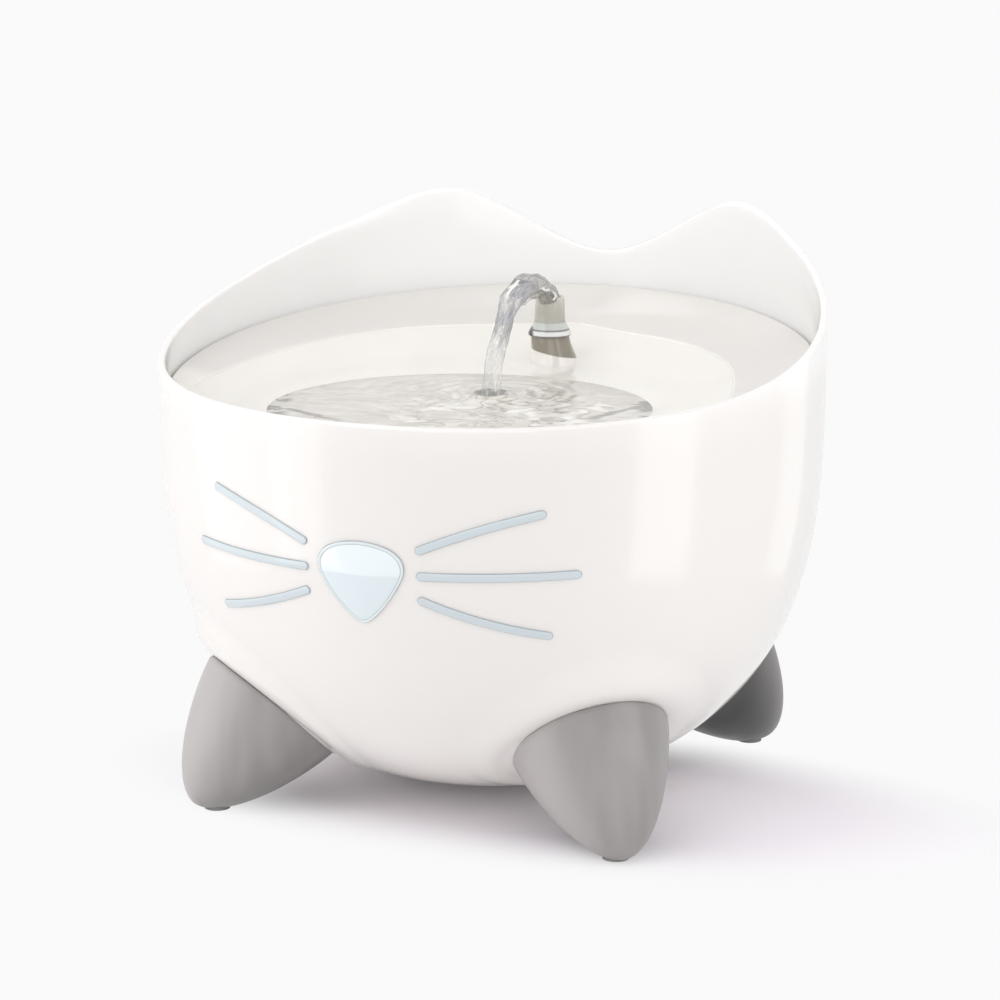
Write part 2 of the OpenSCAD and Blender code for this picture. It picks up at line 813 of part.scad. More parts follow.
module pump_shaft() {
    color("#f2f2ee") rod_y(shaft_rad, shaft_y[0], shaft_y[1], [0, axis_z]);
}

module bush(y0, y1) {
    color("#2b2d30") difference() {
        rod_y(bush_rad - slip / 2, y0, y1, [0, axis_z]);
        rod_y(shaft_rad + slip / 2, shaft_y[0] - slip, shaft_y[1] + slip, [0, axis_z]);
    }
}

module shaft_bush_inner() {
    bush(well_end_y - bush_len, well_end_y);
}

module shaft_bush_outer() {
    bush(chamber_y[1], chamber_y[1] + plate_t);
}

// Plate over the impeller's chamber, with the shaft's far end held on three spokes
module chamber_cover() {
    y = chamber_y[1];
    color(pump_colour) along_y(y + slip, y + plate_t) {
        difference() {
            pump_section(pump_w - 2 * block_gap - 3, pump_h - 2, 5);
            translate([0, axis_z]) circle(intake_rad);
        }
        translate([0, axis_z]) difference() {
            union() {
                circle(bush_rad + 1);
                for (a = [90, 210, 330]) rotate(a) translate([0, -0.7])
                    square([intake_rad + 1, 1.4]);
            }
            circle(bush_rad);
        }
    }
}

module impeller() {
    color("#e8e6e0") difference() {
        union() {
            rod_y(sleeve_rad, magnet_y[0], blade_y[0], [0, axis_z]);
            rod_y(hub_rad, magnet_y[1], blade_y[1], [0, axis_z]);
            rod_y(blade_rad - 3, pump_y[1] + 0.7, blade_y[0], [0, axis_z]);
            for (i = [0:blade_count - 1]) translate([0, 0, axis_z])
                rotate([0, 360 * i / blade_count, 0])
                    translate([-blade_t / 2, pump_y[1] + 0.9, 0])
                        cube([blade_t, blade_y[1] - pump_y[1] - 0.9, blade_rad]);
        }
        rod_y(shaft_rad + slip, magnet_y[0] - over, blade_y[1] + over, [0, axis_z]);
    }
}

module rotor_magnet() {
    color("#3d4046") difference() {
        rod_y(magnet_rad, magnet_y[0], magnet_y[1], [0, axis_z]);
        rod_y(sleeve_rad, magnet_y[0] - over, magnet_y[1] + over, [0, axis_z]);
    }
}

// Slip-on cap with an upright grille and the pin that the flow dial turns on
module intake_cover() {
    outer_w = pump_w - 2 * block_gap - 3 + 2 * (cap_wall + 0.1);
    outer_h = pump_h - 2 + 2 * (cap_wall + 0.1);
    color(pump_colour) {
        difference() {
            along_y(cap_y[0], cap_y[1]) pump_section(outer_w, outer_h, 6);
            along_y(cap_y[0] - over, cap_y[1] - cap_wall)
                pump_section(outer_w - 2 * cap_wall, outer_h - 2 * cap_wall, 5);
            for (i = [-3:3]) translate([i * 4.6 - 1, cap_y[1] - 2, axis_z - 9])
                cube([2, 4, 18]);
        }
        rod_y(3, cap_y[1] - cap_wall, cap_y[1], [0, axis_z]);
        rod_y(1.5, cap_y[1] - cap_wall, cap_y[1] + dial_t + 0.4, [0, axis_z]);
        rod_y(2.4, cap_y[1] + dial_t + 0.3, cap_y[1] + dial_t + 1.2, [0, axis_z]);
    }
}

module intake_sponge() {
    y = chamber_y[1] + plate_t;
    color("#7c8087") along_y(y + 0.4, cap_y[1] - cap_wall) difference() {
        pump_section(30, 22, 4);
        translate([0, axis_z]) circle(2.4);
    }
}

// Round shutter with two windows, turned by its tab
module flow_dial() {
    color("#d8d5cf") along_y(cap_y[1] + 0.1, cap_y[1] + dial_t + 0.1)
        translate([0, axis_z]) difference() {
            union() {
                circle(dial_rad);
                translate([-1.6, 0]) square([3.2, dial_rad + 3]);
            }
            circle(1.5 + slip);
            for (a = [45, 225]) rotate(a) intersection() {
                difference() {
                    circle(dial_rad - 1.5);
                    circle(3.4);
                }
                square(dial_rad);
            }
        }
}

module riser_tube() {
    color("#e2e6e6") translate([0, spout_y, 0]) difference() {
        translate([0, 0, riser_z[0]]) cylinder(h = riser_z[1] - riser_z[0], r = riser_rad);
        translate([0, 0, riser_z[0] - over])
            cylinder(h = riser_z[1] - riser_z[0] + 2 * over, r = riser_bore);
    }
}

// ---- Dish ----

// Height of the dish's rim at a distance y behind the axis
function rim_z(y) = rim_low_z + rim_blend * ln(1 + exp((rim_mid_z + rim_slope * y
    - rim_low_z) / rim_blend));

function edge_r(a) = edge_rad[0]
    + (edge_rad[1] - edge_rad[0]) * smooth((edge_turn[0] - abs(a)) / edge_turn[1])
    + notch_len * exp(-pow((180 - abs(a)) / notch_turn, 2));

function edge_z(a) = rim_z(-dish_rad * cos(a)) - edge_drop[0]
    - edge_drop[1] * smooth((abs(a) - edge_drop_turn[0]) / edge_drop_turn[1]);

function mix_point(p, q, t, sink) = p + (q - p) * t - [0, 0, sink];

// Rings of the dish's upper surface, from the rim inwards
function dish_ring(k, a) =
    let (rim = around([0, 0], dish_rad, a, rim_z(-dish_rad * cos(a))),
        lip = around([0, 0], dish_rad - 1.6, a, rim_z(-dish_rad * cos(a)) - 0.3),
        edge = around([edge_x, 0], edge_r(a), a, edge_z(a)),
        pool = around([0, pool_y], pool_rad, a, water_z))
    k == 0 ? rim
    : k == 1 ? lip
    : k == 2 ? mix_point(lip, edge, 0.5, 0.15 * (lip[2] - edge[2]))
    : k == 3 ? edge
    : k == 4 ? around([edge_x, 0], edge_r(a) - 1.2, a, edge_z(a) - edge_step)
    : k == 5 ? mix_point(edge, pool, 0.5, 0.9 + 0.06 * (edge[2] - water_z))
    : k == 6 ? pool
    : k == 7 ? around([0, pool_y], pool_rad - 4.7, a, water_z - 4.4)
    : k == 8 ? around([0, pool_y], pool_rad - 11, a, water_z - 10.6)
    : around([0, pool_y], pool_rad - 20, a, pool_floor_z + 0.4);

dish_rings = 10;

// Solid between the dish's upper surface lowered by sink and the same lowered by depth,
// or down to a flat floor
module dish_form(sink, depth, floor_z) {
    n = dish_steps;
    angles = [for (i = [0:n - 1]) -180 + 360 * i / n];
    top = [for (k = [0:dish_rings - 1], a = angles) dish_ring(k, a) - [0, 0, sink]];
    low = [for (k = [0:dish_rings - 1], a = angles) let (p = dish_ring(k, a))
        [p[0], p[1], depth > 0 ? p[2] - depth : floor_z]];
    size = n * dish_rings;
    last = n * (dish_rings - 1);
    mid = 2 * size;
    points = concat(top, low, [[0, pool_y, pool_floor_z - sink],
        [0, pool_y, depth > 0 ? pool_floor_z - depth : floor_z]]);
    faces = concat(
        [for (k = [0:dish_rings - 2]) each strip(k * n, (k + 1) * n, n)],
        [for (i = [0:n - 1]) [last + i, mid, last + (i + 1) % n]],
        strip(size, 0, n),
        [for (k = [0:dish_rings - 2]) each strip(size + (k + 1) * n, size + k * n, n)],
        [for (i = [0:n - 1]) [size + last + (i + 1) % n, mid + 1, size + last + i]]);
    polyhedron(points, faces);
}

module tray_outline(grow) {
    translate([0, tray_y]) round_rect(tray_w + 2 * grow, tray_l + 2 * grow,
        tray_round + grow);
}

module dish() {
    color(dish_colour) difference() {
        union() {
            dish_form(0, dish_wall, 0);
            intersection() {
                dish_form(dish_wall / 2, 0, 100);
                dish_skirts();
            }
            translate([0, spout_y, collar_z])
                cylinder(h = spout_flange_z - seat_gap - collar_z, r = spout_rad + boss_wall);
            translate([0, spout_y, boss_foot_z]) cylinder(
                h = spout_flange_z - seat_gap - boss_foot_z, r1 = boss_foot_rad,
                r2 = spout_rad + boss_wall);
        }
        translate([0, spout_y, 100]) cylinder(h = 100, r = spout_rad + slip);
        translate([-sill[0] / 2, sill_y - sill[1] / 2, water_z - sill[2]])
            cube([sill[0], sill[1], 10]);
        for (i = [0:slot_count - 1])
            translate([(i - (slot_count - 1) / 2) * slot_pitch - slot_size[0] / 2,
                    sill_y - slot_size[1] / 2, water_z - 10])
                cube([slot_size[0], slot_size[1], 20]);
    }
}

// Ring that stands on the bowl's ledge, and the collar that the filter tray plugs into
module dish_skirts() {
    translate([0, 0, ledge_z + seat_gap]) difference() {
        cylinder(h = 30, r = skirt_rad[1]);
        translate([0, 0, -over]) cylinder(h = 40, r = skirt_rad[0]);
    }
    translate([0, 0, collar_low_z]) linear_extrude(40) difference() {
        tray_outline(seat_gap + collar_wall);
        tray_outline(seat_gap);
    }
}

// ---- Spout ----

module spout() {
    color("#e6ebe9") translate([0, spout_y, 0]) rotate_extrude() polygon([
        [stem_bore, stem_z[0]], [stem_rad, stem_z[0]], [stem_rad, stem_z[1]],
        [spout_rad, stem_z[1] + 1], [spout_rad, seal_z - seal_rad],
        [spout_rad - 1.9, seal_z - seal_rad], [spout_rad - 1.9, seal_z + seal_rad],
        [spout_rad, seal_z + seal_rad], [spout_rad, spout_flange_z],
        [spout_flange_rad, spout_flange_z], [spout_flange_rad, spout_flange_z + 0.9],
        [spout_flange_rad - 0.4, spout_flange_z + 1.3], [spout_rad, spout_flange_z + 1.3],
        [spout_rad - 0.2, spout_top_z - 0.8], [spout_rad - 0.7, spout_top_z],
        [spout_bore, spout_top_z], [spout_bore, spout_flange_z],
        [stem_bore, spout_flange_z - 2]]);
}

module spout_seal() {
    color("#3c3f42") translate([0, spout_y, seal_z]) rotate_extrude()
        translate([spout_rad - seal_rad - slip, 0]) circle(seal_rad - slip / 2, $fn = 32);
}

// ---- Filter ----

module filter_tray() {
    color("#e9e7e2") difference() {
        union() {
            translate([0, 0, tray_z[0]]) linear_extrude(tray_z[1] - tray_z[0])
                tray_outline(-1.5);
            translate([0, 0, tray_z[1] - tray_flange_t]) linear_extrude(tray_flange_t)
                tray_outline(0);
        }
        translate([0, 0, tray_z[0] + tray_wall]) linear_extrude(tray_z[1])
            tray_outline(-1.5 - tray_wall);
        grid_slots(tray_z[0] - over, tray_wall + 2 * over);
    }
}

module grid_slots(z, h) {
    for (i = [-5:5], side = [-1, 1])
        translate([i * grid_pitch - grid_slot[0] / 2,
                tray_y + side * 12.5 - grid_slot[1] / 2, z])
            cube([grid_slot[0], grid_slot[1], h]);
}

module filter_layer(z, inset) {
    translate([0, 0, z[0]]) linear_extrude(z[1] - z[0])
        tray_outline(-1.5 - tray_wall - inset);
}

module filter_foam() {
    color("#9aa7b3") filter_layer(foam_z, 0.2);
}

module filter_carbon() {
    color("#33363a") filter_layer(carbon_z, 0.2);
}

module filter_grid() {
    color("#e9e7e2") difference() {
        filter_layer(grid_z, 0.1);
        grid_slots(grid_z[0] - over, 4);
    }
}

bowl();
foot(foot_angles[0]);  // foot_front_left
foot(foot_angles[1]);  // foot_front_right
foot(foot_angles[2]);  // foot_rear_left
foot(foot_angles[3]);  // foot_rear_right
foot_pads();
nose_lens();
nose_bezel();
whiskers(-1);  // whiskers_left
whiskers(1);  // whiskers_right
light_gasket();
light_housing();
light_board();
light_leds();
light_diffuser();
light_screws();
cable_gland();
gland_nut();
pump_lead();
light_lead();
lead_clips();
pump_cradle();
cradle_screws();
pump_cups();
pump_housing();
motor_cover();
stator_core();
stator_coil();
pump_shaft();
shaft_bush_inner();
shaft_bush_outer();
chamber_cover();
impeller();
rotor_magnet();
intake_cover();
intake_sponge();
flow_dial();
riser_tube();
dish();
spout();
spout_seal();
filter_tray();
filter_foam();
filter_carbon();
filter_grid();
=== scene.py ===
"""Pet water fountain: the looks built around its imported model, laid out as a Blender add-on."""

import math

import bmesh
import bpy
import numpy as np
from bpy.props import FloatProperty, FloatVectorProperty, PointerProperty
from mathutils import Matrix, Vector, noise
from mathutils.bvhtree import BVHTree


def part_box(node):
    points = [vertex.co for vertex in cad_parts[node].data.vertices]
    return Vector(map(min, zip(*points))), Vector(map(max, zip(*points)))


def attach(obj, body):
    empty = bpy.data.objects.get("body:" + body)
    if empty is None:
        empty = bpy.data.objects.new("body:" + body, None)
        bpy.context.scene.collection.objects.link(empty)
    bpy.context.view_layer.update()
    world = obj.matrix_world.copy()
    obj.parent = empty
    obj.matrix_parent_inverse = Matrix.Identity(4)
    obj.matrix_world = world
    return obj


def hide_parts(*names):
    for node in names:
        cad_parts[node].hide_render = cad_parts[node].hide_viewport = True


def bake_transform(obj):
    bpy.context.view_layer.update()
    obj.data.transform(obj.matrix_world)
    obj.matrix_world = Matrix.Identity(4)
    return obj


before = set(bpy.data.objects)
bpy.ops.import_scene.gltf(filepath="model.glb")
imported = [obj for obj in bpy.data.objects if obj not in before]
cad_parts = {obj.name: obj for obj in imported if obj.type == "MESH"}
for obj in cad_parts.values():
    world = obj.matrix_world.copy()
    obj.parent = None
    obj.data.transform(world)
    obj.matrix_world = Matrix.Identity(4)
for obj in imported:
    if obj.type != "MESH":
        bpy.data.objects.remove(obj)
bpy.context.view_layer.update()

bl_info = {
    "name": "Pet water fountain",
    "version": (1, 0, 0),
    "blender": (4, 5, 0),
    "location": "3D View > Sidebar > Fountain",
    "description": "Builds a pet water fountain with running water around its packed model",
    "category": "Object",
}

MM = 0.001

# The bowl's wall: curved up to the straight part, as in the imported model
CURVE_POWER = 3
CURVE_ROOT = 0.45
CURVE_TAPER = 0.02

# The rim's wave: angle from the front, share of the ears' rise, slope in mm per degree
EAR_ANGLE = 150
RIM_KNOTS = [(0, 0, 0), (40, 0.02, 0.081), (70, 0.114, 0.298), (100, 0.378, 0.538),
             (130, 0.76, 0.622), (EAR_ANGLE, 1, 0)]

FOOT_ANGLES = {"front_left": -45, "front_right": 45, "rear_left": -135, "rear_right": 135}
FOOT_BULGE = 1.25
FOOT_POINT = 0.56

# Turn of the streaks on the water, the spout and its boss
STREAK_TURN = math.radians(22)

# Whiskers: inner end, outer end and bow, in mm across and up
WHISKERS = [((21, 112), (59, 124.6), 0.9), ((21, 103), (68.4, 103.6), -0.2),
            ((21, 94.4), (59, 82.2), -0.9)]


def metres(name, description, default):
    """Property for a length in metres."""
    return FloatProperty(name=name, description=description, default=default, unit="LENGTH")


def paint(name, description, default):
    """Property for a colour."""
    return FloatVectorProperty(name=name, description=description, default=default,
                               subtype="COLOR")


class FountainSizes(bpy.types.PropertyGroup):
    """Sizes of the fountain that its looks are made from"""

    bowl_radius: metres("Bowl radius", "Outside radius of the bowl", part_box("bowl")[1].x)
    bowl_base: metres("Bowl base", "Height of the bowl's underside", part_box("bowl")[0].z)
    ear_top: metres("Ear top", "Height of the ears' tips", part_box("bowl")[1].z)
    rim_front: metres("Front rim", "Height of the rim at the front", 153 * MM)
    saddle_rise: metres("Saddle rise", "How far the rim between the ears stands above the front",
                        26.6 * MM)
    wall: metres("Wall", "Thickness of the bowl's wall", 2.6 * MM)
    foot_radius: metres("Foot radius", "Radius of the seam between a foot and the bowl", 28 * MM)
    foot_length: metres("Foot length", "Length of a foot from its seam to its point", 45.5 * MM)
    foot_out: metres("Foot distance", "Distance of a foot's seam from the bowl's axis", 85.5 * MM)
    foot_tilt: FloatProperty(
        name="Foot lean", description="Lean of a foot outwards from straight down",
        default=math.radians(42), subtype="ANGLE")
    whisker_width: metres("Whisker width", "Width of a whisker", 3.1 * MM)
    nose_width: metres("Nose width", "Width of the nose", 31.5 * MM)
    nose_height: metres("Nose height", "Height of the nose", 29 * MM)
    nose_low: metres("Nose point", "Height of the nose's bottom point above the ground", 85 * MM)
    water_height: metres("Water height", "Height of the water in the dish", 143 * MM)
    pool_radius: metres("Pool radius", "Radius of the pool", 68 * MM)
    spout_y: metres("Spout distance", "Distance of the spout behind the bowl's axis", 58 * MM)
    spout_radius: metres("Spout radius", "Outside radius of the spout's tube", 5.8 * MM)


class FountainColours(bpy.types.PropertyGroup):
    """Colours of the fountain's finishes, before light"""

    bowl: paint("Bowl", "Gloss plastic of the bowl", (0.86, 0.835, 0.815))
    shelf: paint("Dish shelf", "Sloping shelf round the dish", (0.77, 0.75, 0.725))
    basin: paint("Dish basin", "Basin of the dish", (0.9, 0.88, 0.835))
    foot: paint("Feet", "Satin plastic of the feet", (0.33, 0.315, 0.31))
    whisker: paint("Whiskers", "Clear pale plastic of the whiskers", (0.6, 0.67, 0.71))
    nose: paint("Nose", "Lower part of the nose", (0.735, 0.82, 0.86))
    # The nose's upper part is a painted highlight, in the bezel's colour
    nose_light: paint("Nose highlight", "Upper part of the nose, and its bezel",
                      (0.82, 0.895, 0.925))
    # The sides are darker: dark joints, partly painted shade
    inlay_side: paint("Nose and whisker sides", "Edges of the nose and the whiskers",
                      (0.36, 0.41, 0.43))
    backdrop: paint("Backdrop", "Floor and background", (0.955, 0.955, 0.955))


# ---- Shaders ----

# Colours of painted shade, painted dark lines, a painted highlight and a painted shadow
FOOT_SHADE = (0.02, 0.022, 0.022)
PAINTED_DARK_LINE = (0.15, 0.15, 0.15)
PAINTED_EDGE_HIGHLIGHT = (0.92, 0.93, 0.94)
LIP_SHADE = (0.1, 0.1, 0.11)
PAINTED_SHADOW_BLACK = (0.01, 0.01, 0.01)


class Signal:
    """An output in a shader tree. Python arithmetic on it adds Math nodes."""

    def __init__(self, finish, socket):
        self.finish = finish
        self.socket = socket

    def maths(self, operation, *values):
        return self.finish.node("ShaderNodeMath", {"operation": operation},
                                dict(enumerate(values)))

    def __add__(self, other):
        return self.maths("ADD", self, other)

    __radd__ = __add__

    def __sub__(self, other):
        return self.maths("SUBTRACT", self, other)

    def __rsub__(self, other):
        return self.maths("SUBTRACT", other, self)

    def __mul__(self, other):
        return self.maths("MULTIPLY", self, other)

    __rmul__ = __mul__

    def at_least(self, other):
        return self.maths("MAXIMUM", self, other)

    def at_most(self, other):
        return self.maths("MINIMUM", self, other)

    def size(self):
        return self.maths("ABSOLUTE", self)


class Finish:
    """A material or world in the making. One method adds any node."""

    def __init__(self, name, owner=None):
        self.owner = owner or bpy.data.materials.new(name)
        self.owner.use_nodes = True
        self.tree = self.owner.node_tree
        self.tree.nodes.clear()

    def node(self, kind, settings=None, sockets=None, output=0):
        """Adds a node, sets it, fills or links its sockets and gives one of its outputs."""
        made = self.tree.nodes.new(kind)
        for key, value in (settings or {}).items():
            setattr(made, key, value)
        for key, value in (sockets or {}).items():
            if isinstance(value, Signal):
                self.tree.links.new(value.socket, made.inputs[key])
            else:
                made.inputs[key].default_value = value
        return Signal(self, made.outputs[output]) if made.outputs else made

    def mix(self, share, first, second):
        """Colour between two colours or colour signals."""
        pair = [value if isinstance(value, Signal) else (*value, 1) for value in (first, second)]
        return self.node("ShaderNodeMix", {"data_type": "RGBA"},
                         {0: share, 6: pair[0], 7: pair[1]}, output=2)

    def place(self):
        """Position on the piece, in metres in the object's own frame."""
        return self.node("ShaderNodeTexCoord", output=3)

    def seen(self):
        """1 for rays that the camera, gloss or glass sends, 0 for the light's own rays."""
        camera, gloss, glass = [self.node("ShaderNodeLightPath", output=i) for i in (0, 3, 6)]
        return camera.at_least(gloss).at_least(glass)

    def along(self, axis):
        """One coordinate of the place: 0 across, 1 back, 2 up."""
        return self.node("ShaderNodeSeparateXYZ", sockets={0: self.place()}, output=axis)

    def across(self, middle):
        """Coordinate across the streaks, from a point at a distance behind the axis."""
        return (math.cos(STREAK_TURN) * self.along(0)
                + math.sin(STREAK_TURN) * (self.along(1) - middle))

    def distance(self, spot, place=None):
        """Distance of a place from a spot, in metres."""
        return self.node("ShaderNodeVectorMath", {"operation": "DISTANCE"},
                         {0: place or self.place(), 1: spot}, output=1)

    def facing(self, way):
        """How far the surface faces a direction, from -1 to 1."""
        normal = self.node("ShaderNodeNewGeometry", output=1)
        return self.node("ShaderNodeVectorMath", {"operation": "DOT_PRODUCT"},
                         {0: normal, 1: way}, output=1)

    def grain(self, scale, detail=3, roughness=0.5, place=None, distortion=0):
        """Noise between 0 and 1, with its scale in turns per metre."""
        return self.node("ShaderNodeTexNoise", None, {
            "Vector": place or self.place(), "Scale": scale, "Detail": detail,
            "Roughness": roughness, "Distortion": distortion})

    def step(self, value, low, high):
        """Smooth change from 0 at low to 1 at high."""
        return self.node("ShaderNodeMapRange", {"interpolation_type": "SMOOTHSTEP"},
                         {0: value, 1: low, 2: high, 3: 0.0, 4: 1.0})

    def fall(self, value, low, high):
        """Smooth change from 1 at low to 0 at high."""
        return 1 - self.step(value, low, high)

    def line(self, value, middle, inner, outer):
        """1 where a value is within inner of a middle, and 0 beyond outer."""
        return self.fall((value - middle).size(), inner, outer)

    def stretched(self, scale, place=None):
        """Place scaled along each axis."""
        return self.node("ShaderNodeMapping", None, {"Vector": place or self.place(),
                                                     "Scale": scale})

    def waves(self, settings, scale, distortion):
        """Even ridges between 0 and 1."""
        return self.node("ShaderNodeTexWave", settings, {
            "Vector": self.place(), "Scale": scale, "Distortion": distortion})

    def bump(self, height, depth):
        """Normal that follows a height signal, depth metres high."""
        return self.node("ShaderNodeBump", None, {"Height": height, "Strength": 1.0,
                                                  "Distance": depth})

    def surface(self, sockets):
        """Principled surface joined to the output."""
        return self.show(self.node("ShaderNodeBsdfPrincipled", None, sockets))

    def show(self, shader):
        """Joins a shader to the output and gives the material."""
        self.node("ShaderNodeOutputMaterial", None, {"Surface": shader})
        return self.owner


def shaded(colour, share):
    """Colour whose brightness is cut or raised to a share."""
    return [c * share for c in colour]


def paler(colour, share):
    """Colour whose distance from white is cut to a share."""
    return [1 - (1 - c) * share for c in colour]


def lighter(colour, share, lift):
    """Colour raised to a share and lifted, up to white."""
    return [min(1, c * share + lift) for c in colour]


def moulded(name, colour, roughness=0.3, coat=0.0, variation=0.03, grain_size=0.4 * MM,
            grain_depth=0.004 * MM, glow=0.0):
    """Moulded plastic: a faint cloudiness in the colour and a fine surface grain."""
    finish = Finish(name)
    cloud = finish.grain(30, detail=4)
    fine = finish.grain(1 / grain_size, detail=2)
    darker = shaded(colour, 1 - variation)
    return finish.surface({
        "Base Color": finish.mix(cloud, darker, colour),
        "Roughness": roughness * 0.85 + roughness * 0.3 * finish.grain(90),
        "Coat Weight": coat, "Coat Roughness": 0.03,
        "Subsurface Weight": glow, "Subsurface Radius": (1.0, 0.9, 0.8),
        "Subsurface Scale": 2 * MM,
        "Normal": finish.bump(fine, grain_depth)})


def bowl_plastic(name, colour):
    """Gloss white plastic, with painted light: paler on the ears, the inside and the underside."""
    finish = Finish(name)
    height = finish.along(2)
    # Painted bounce light: the underside is painted paler and warmer
    low = finish.fall(height, 14 * MM, 50 * MM)
    underside_painted_light = [1 - (1 - c) * 0.4 * tint for c, tint in zip(colour, (0.4, 1.0, 1.35))]
    cloud = finish.grain(14, detail=3)
    plain = finish.mix(cloud * 0.4, colour, shaded(colour, 0.985))
    # Painted light: the ears, and the inside above the dish, are painted paler
    ears = finish.step(height, 150 * MM, 165 * MM)
    outward = finish.node("ShaderNodeVectorMath", {"operation": "NORMALIZE"},
                          {0: finish.stretched((1, 1, 0))})
    inside = finish.fall(finish.facing(outward), -0.6, -0.2)
    plain = finish.mix(ears, plain, paler(colour, 0.45))
    plain = finish.mix(inside * finish.step(height, 136 * MM, 142 * MM), plain,
                       paler(colour, 0.2))
    wave = finish.grain(22, detail=1)
    return finish.surface({
        "Base Color": finish.mix(low, plain, underside_painted_light),
        "Roughness": 0.16 + 0.05 * finish.grain(120),
        "Coat Weight": 0.5, "Coat Roughness": 0.02, "IOR": 1.46,
        "Subsurface Weight": 0.3, "Subsurface Radius": (1.0, 0.9, 0.85),
        "Subsurface Scale": 4 * MM,
        "Normal": finish.bump(wave, 0.06 * MM)})


def shelf_plastic(name, colour, pale):
    """Satin plastic of the dish's shelf, which runs out into the paler basin at its left."""
    finish = Finish(name)
    cloud = finish.grain(30, detail=4)
    left = finish.fall(finish.along(0), -90 * MM, -60 * MM)
    front = finish.fall(finish.along(1), -30 * MM, -12 * MM)
    tone = finish.mix(cloud, shaded(colour, 0.97), colour)
    return finish.surface({
        "Base Color": finish.mix(left * front, tone, pale),
        "Roughness": 0.2 + 0.07 * finish.grain(90), "Coat Weight": 0.4, "Coat Roughness": 0.03,
        "Subsurface Weight": 0.1, "Subsurface Radius": (1.0, 0.9, 0.8),
        "Subsurface Scale": 2 * MM,
        "Normal": finish.bump(finish.grain(2500, detail=2), 0.004 * MM)})


def foot_plastic(name, colour):
    """Satin plastic of the feet, with soft upright streaks, painted light and painted shade."""
    finish = Finish(name)
    drawn = finish.stretched((95, 95, 7))
    band = finish.step(finish.grain(1.0, detail=1, place=drawn), 0.36, 0.66)
    fine = finish.grain(2200, detail=2)
    tone = finish.mix(band, shaded(colour, 0.9), shaded(colour, 1.05))
    # Painted light: sides that face left are painted lighter
    lit = finish.step(finish.facing((-0.93, -0.37, 0)), 0.1, 0.85)
    tone = finish.mix(lit * 0.9, tone, shaded(colour, 1.5))
    # Painted shade: the left feet's sides that face the bowl's axis are painted darker
    inner = finish.step(finish.facing((0.93, 0.37, 0)), -0.1, 0.7)
    left = finish.fall(finish.along(0), -60 * MM, -20 * MM)
    tone = finish.mix(inner * left * 0.4, tone, shaded(colour, 0.3))
    # Painted shade: the rear feet are painted darker, most on their sides that face forward, under
    # the bowl
    rear = finish.step(finish.along(1), 20 * MM, 50 * MM)
    under = rear * finish.step(finish.facing((-0.2, -0.98, 0)), -0.25, 0.6)
    return finish.surface({
        "Base Color": finish.mix(under * 0.48 + rear * 0.46, tone, FOOT_SHADE),
        "Roughness": 0.36 + 0.08 * band,
        "Normal": finish.bump(fine, 0.006 * MM)})


def inlay_plastic(name, low, high, start, end):
    """Clear pale plastic, with one tone below and a painted reflection above a wavy line."""
    finish = Finish(name)
    wave = 1.2 * MM * (finish.grain(70, detail=1) - 0.5)
    # The tone above the line is a painted reflection
    tone = finish.step(finish.along(2) + wave, start, end)
    cloud = finish.grain(160, detail=3)
    return finish.surface({
        "Base Color": finish.mix(tone, finish.mix(cloud, shaded(low, 0.96), low), high),
        "Roughness": 0.08 + 0.05 * finish.grain(300),
        "Coat Weight": 0.7, "Coat Roughness": 0.02,
        "Normal": finish.bump(finish.grain(420, detail=1), 0.03 * MM)})


def bezel_plastic(name, colour, side):
    """Clear rim of the nose: pale, with painted shade on its left flank, in the colour of its
    side.
    """
    finish = Finish(name)
    # Painted shade: the flank that faces left is painted in the colour of the side
    left = finish.step(finish.facing((-0.93, 0.2, -0.3)), 0.12, 0.4)
    cloud = finish.grain(160, detail=3)
    tone = finish.mix(cloud, shaded(colour, 0.86), shaded(colour, 0.94))
    return finish.surface({
        "Base Color": finish.mix(left * 0.6, tone, side),
        "Roughness": 0.1 + 0.05 * finish.grain(300), "Coat Weight": 0.7,
        "Coat Roughness": 0.03})


def milky_plastic(name, colour, alpha=0.8):
    """Translucent milky plastic with a faint swirl."""
    finish = Finish(name)
    swirl = finish.grain(130, detail=2, distortion=0.8)
    return finish.surface({
        "Base Color": finish.mix(swirl, shaded(colour, 0.9), colour),
        "Roughness": 0.18 + 0.1 * finish.grain(200),
        "Alpha": alpha - 0.15 + 0.2 * swirl,
        "Coat Weight": 0.6, "Coat Roughness": 0.03,
        "Normal": finish.bump(finish.grain(300, detail=1), 0.03 * MM)})


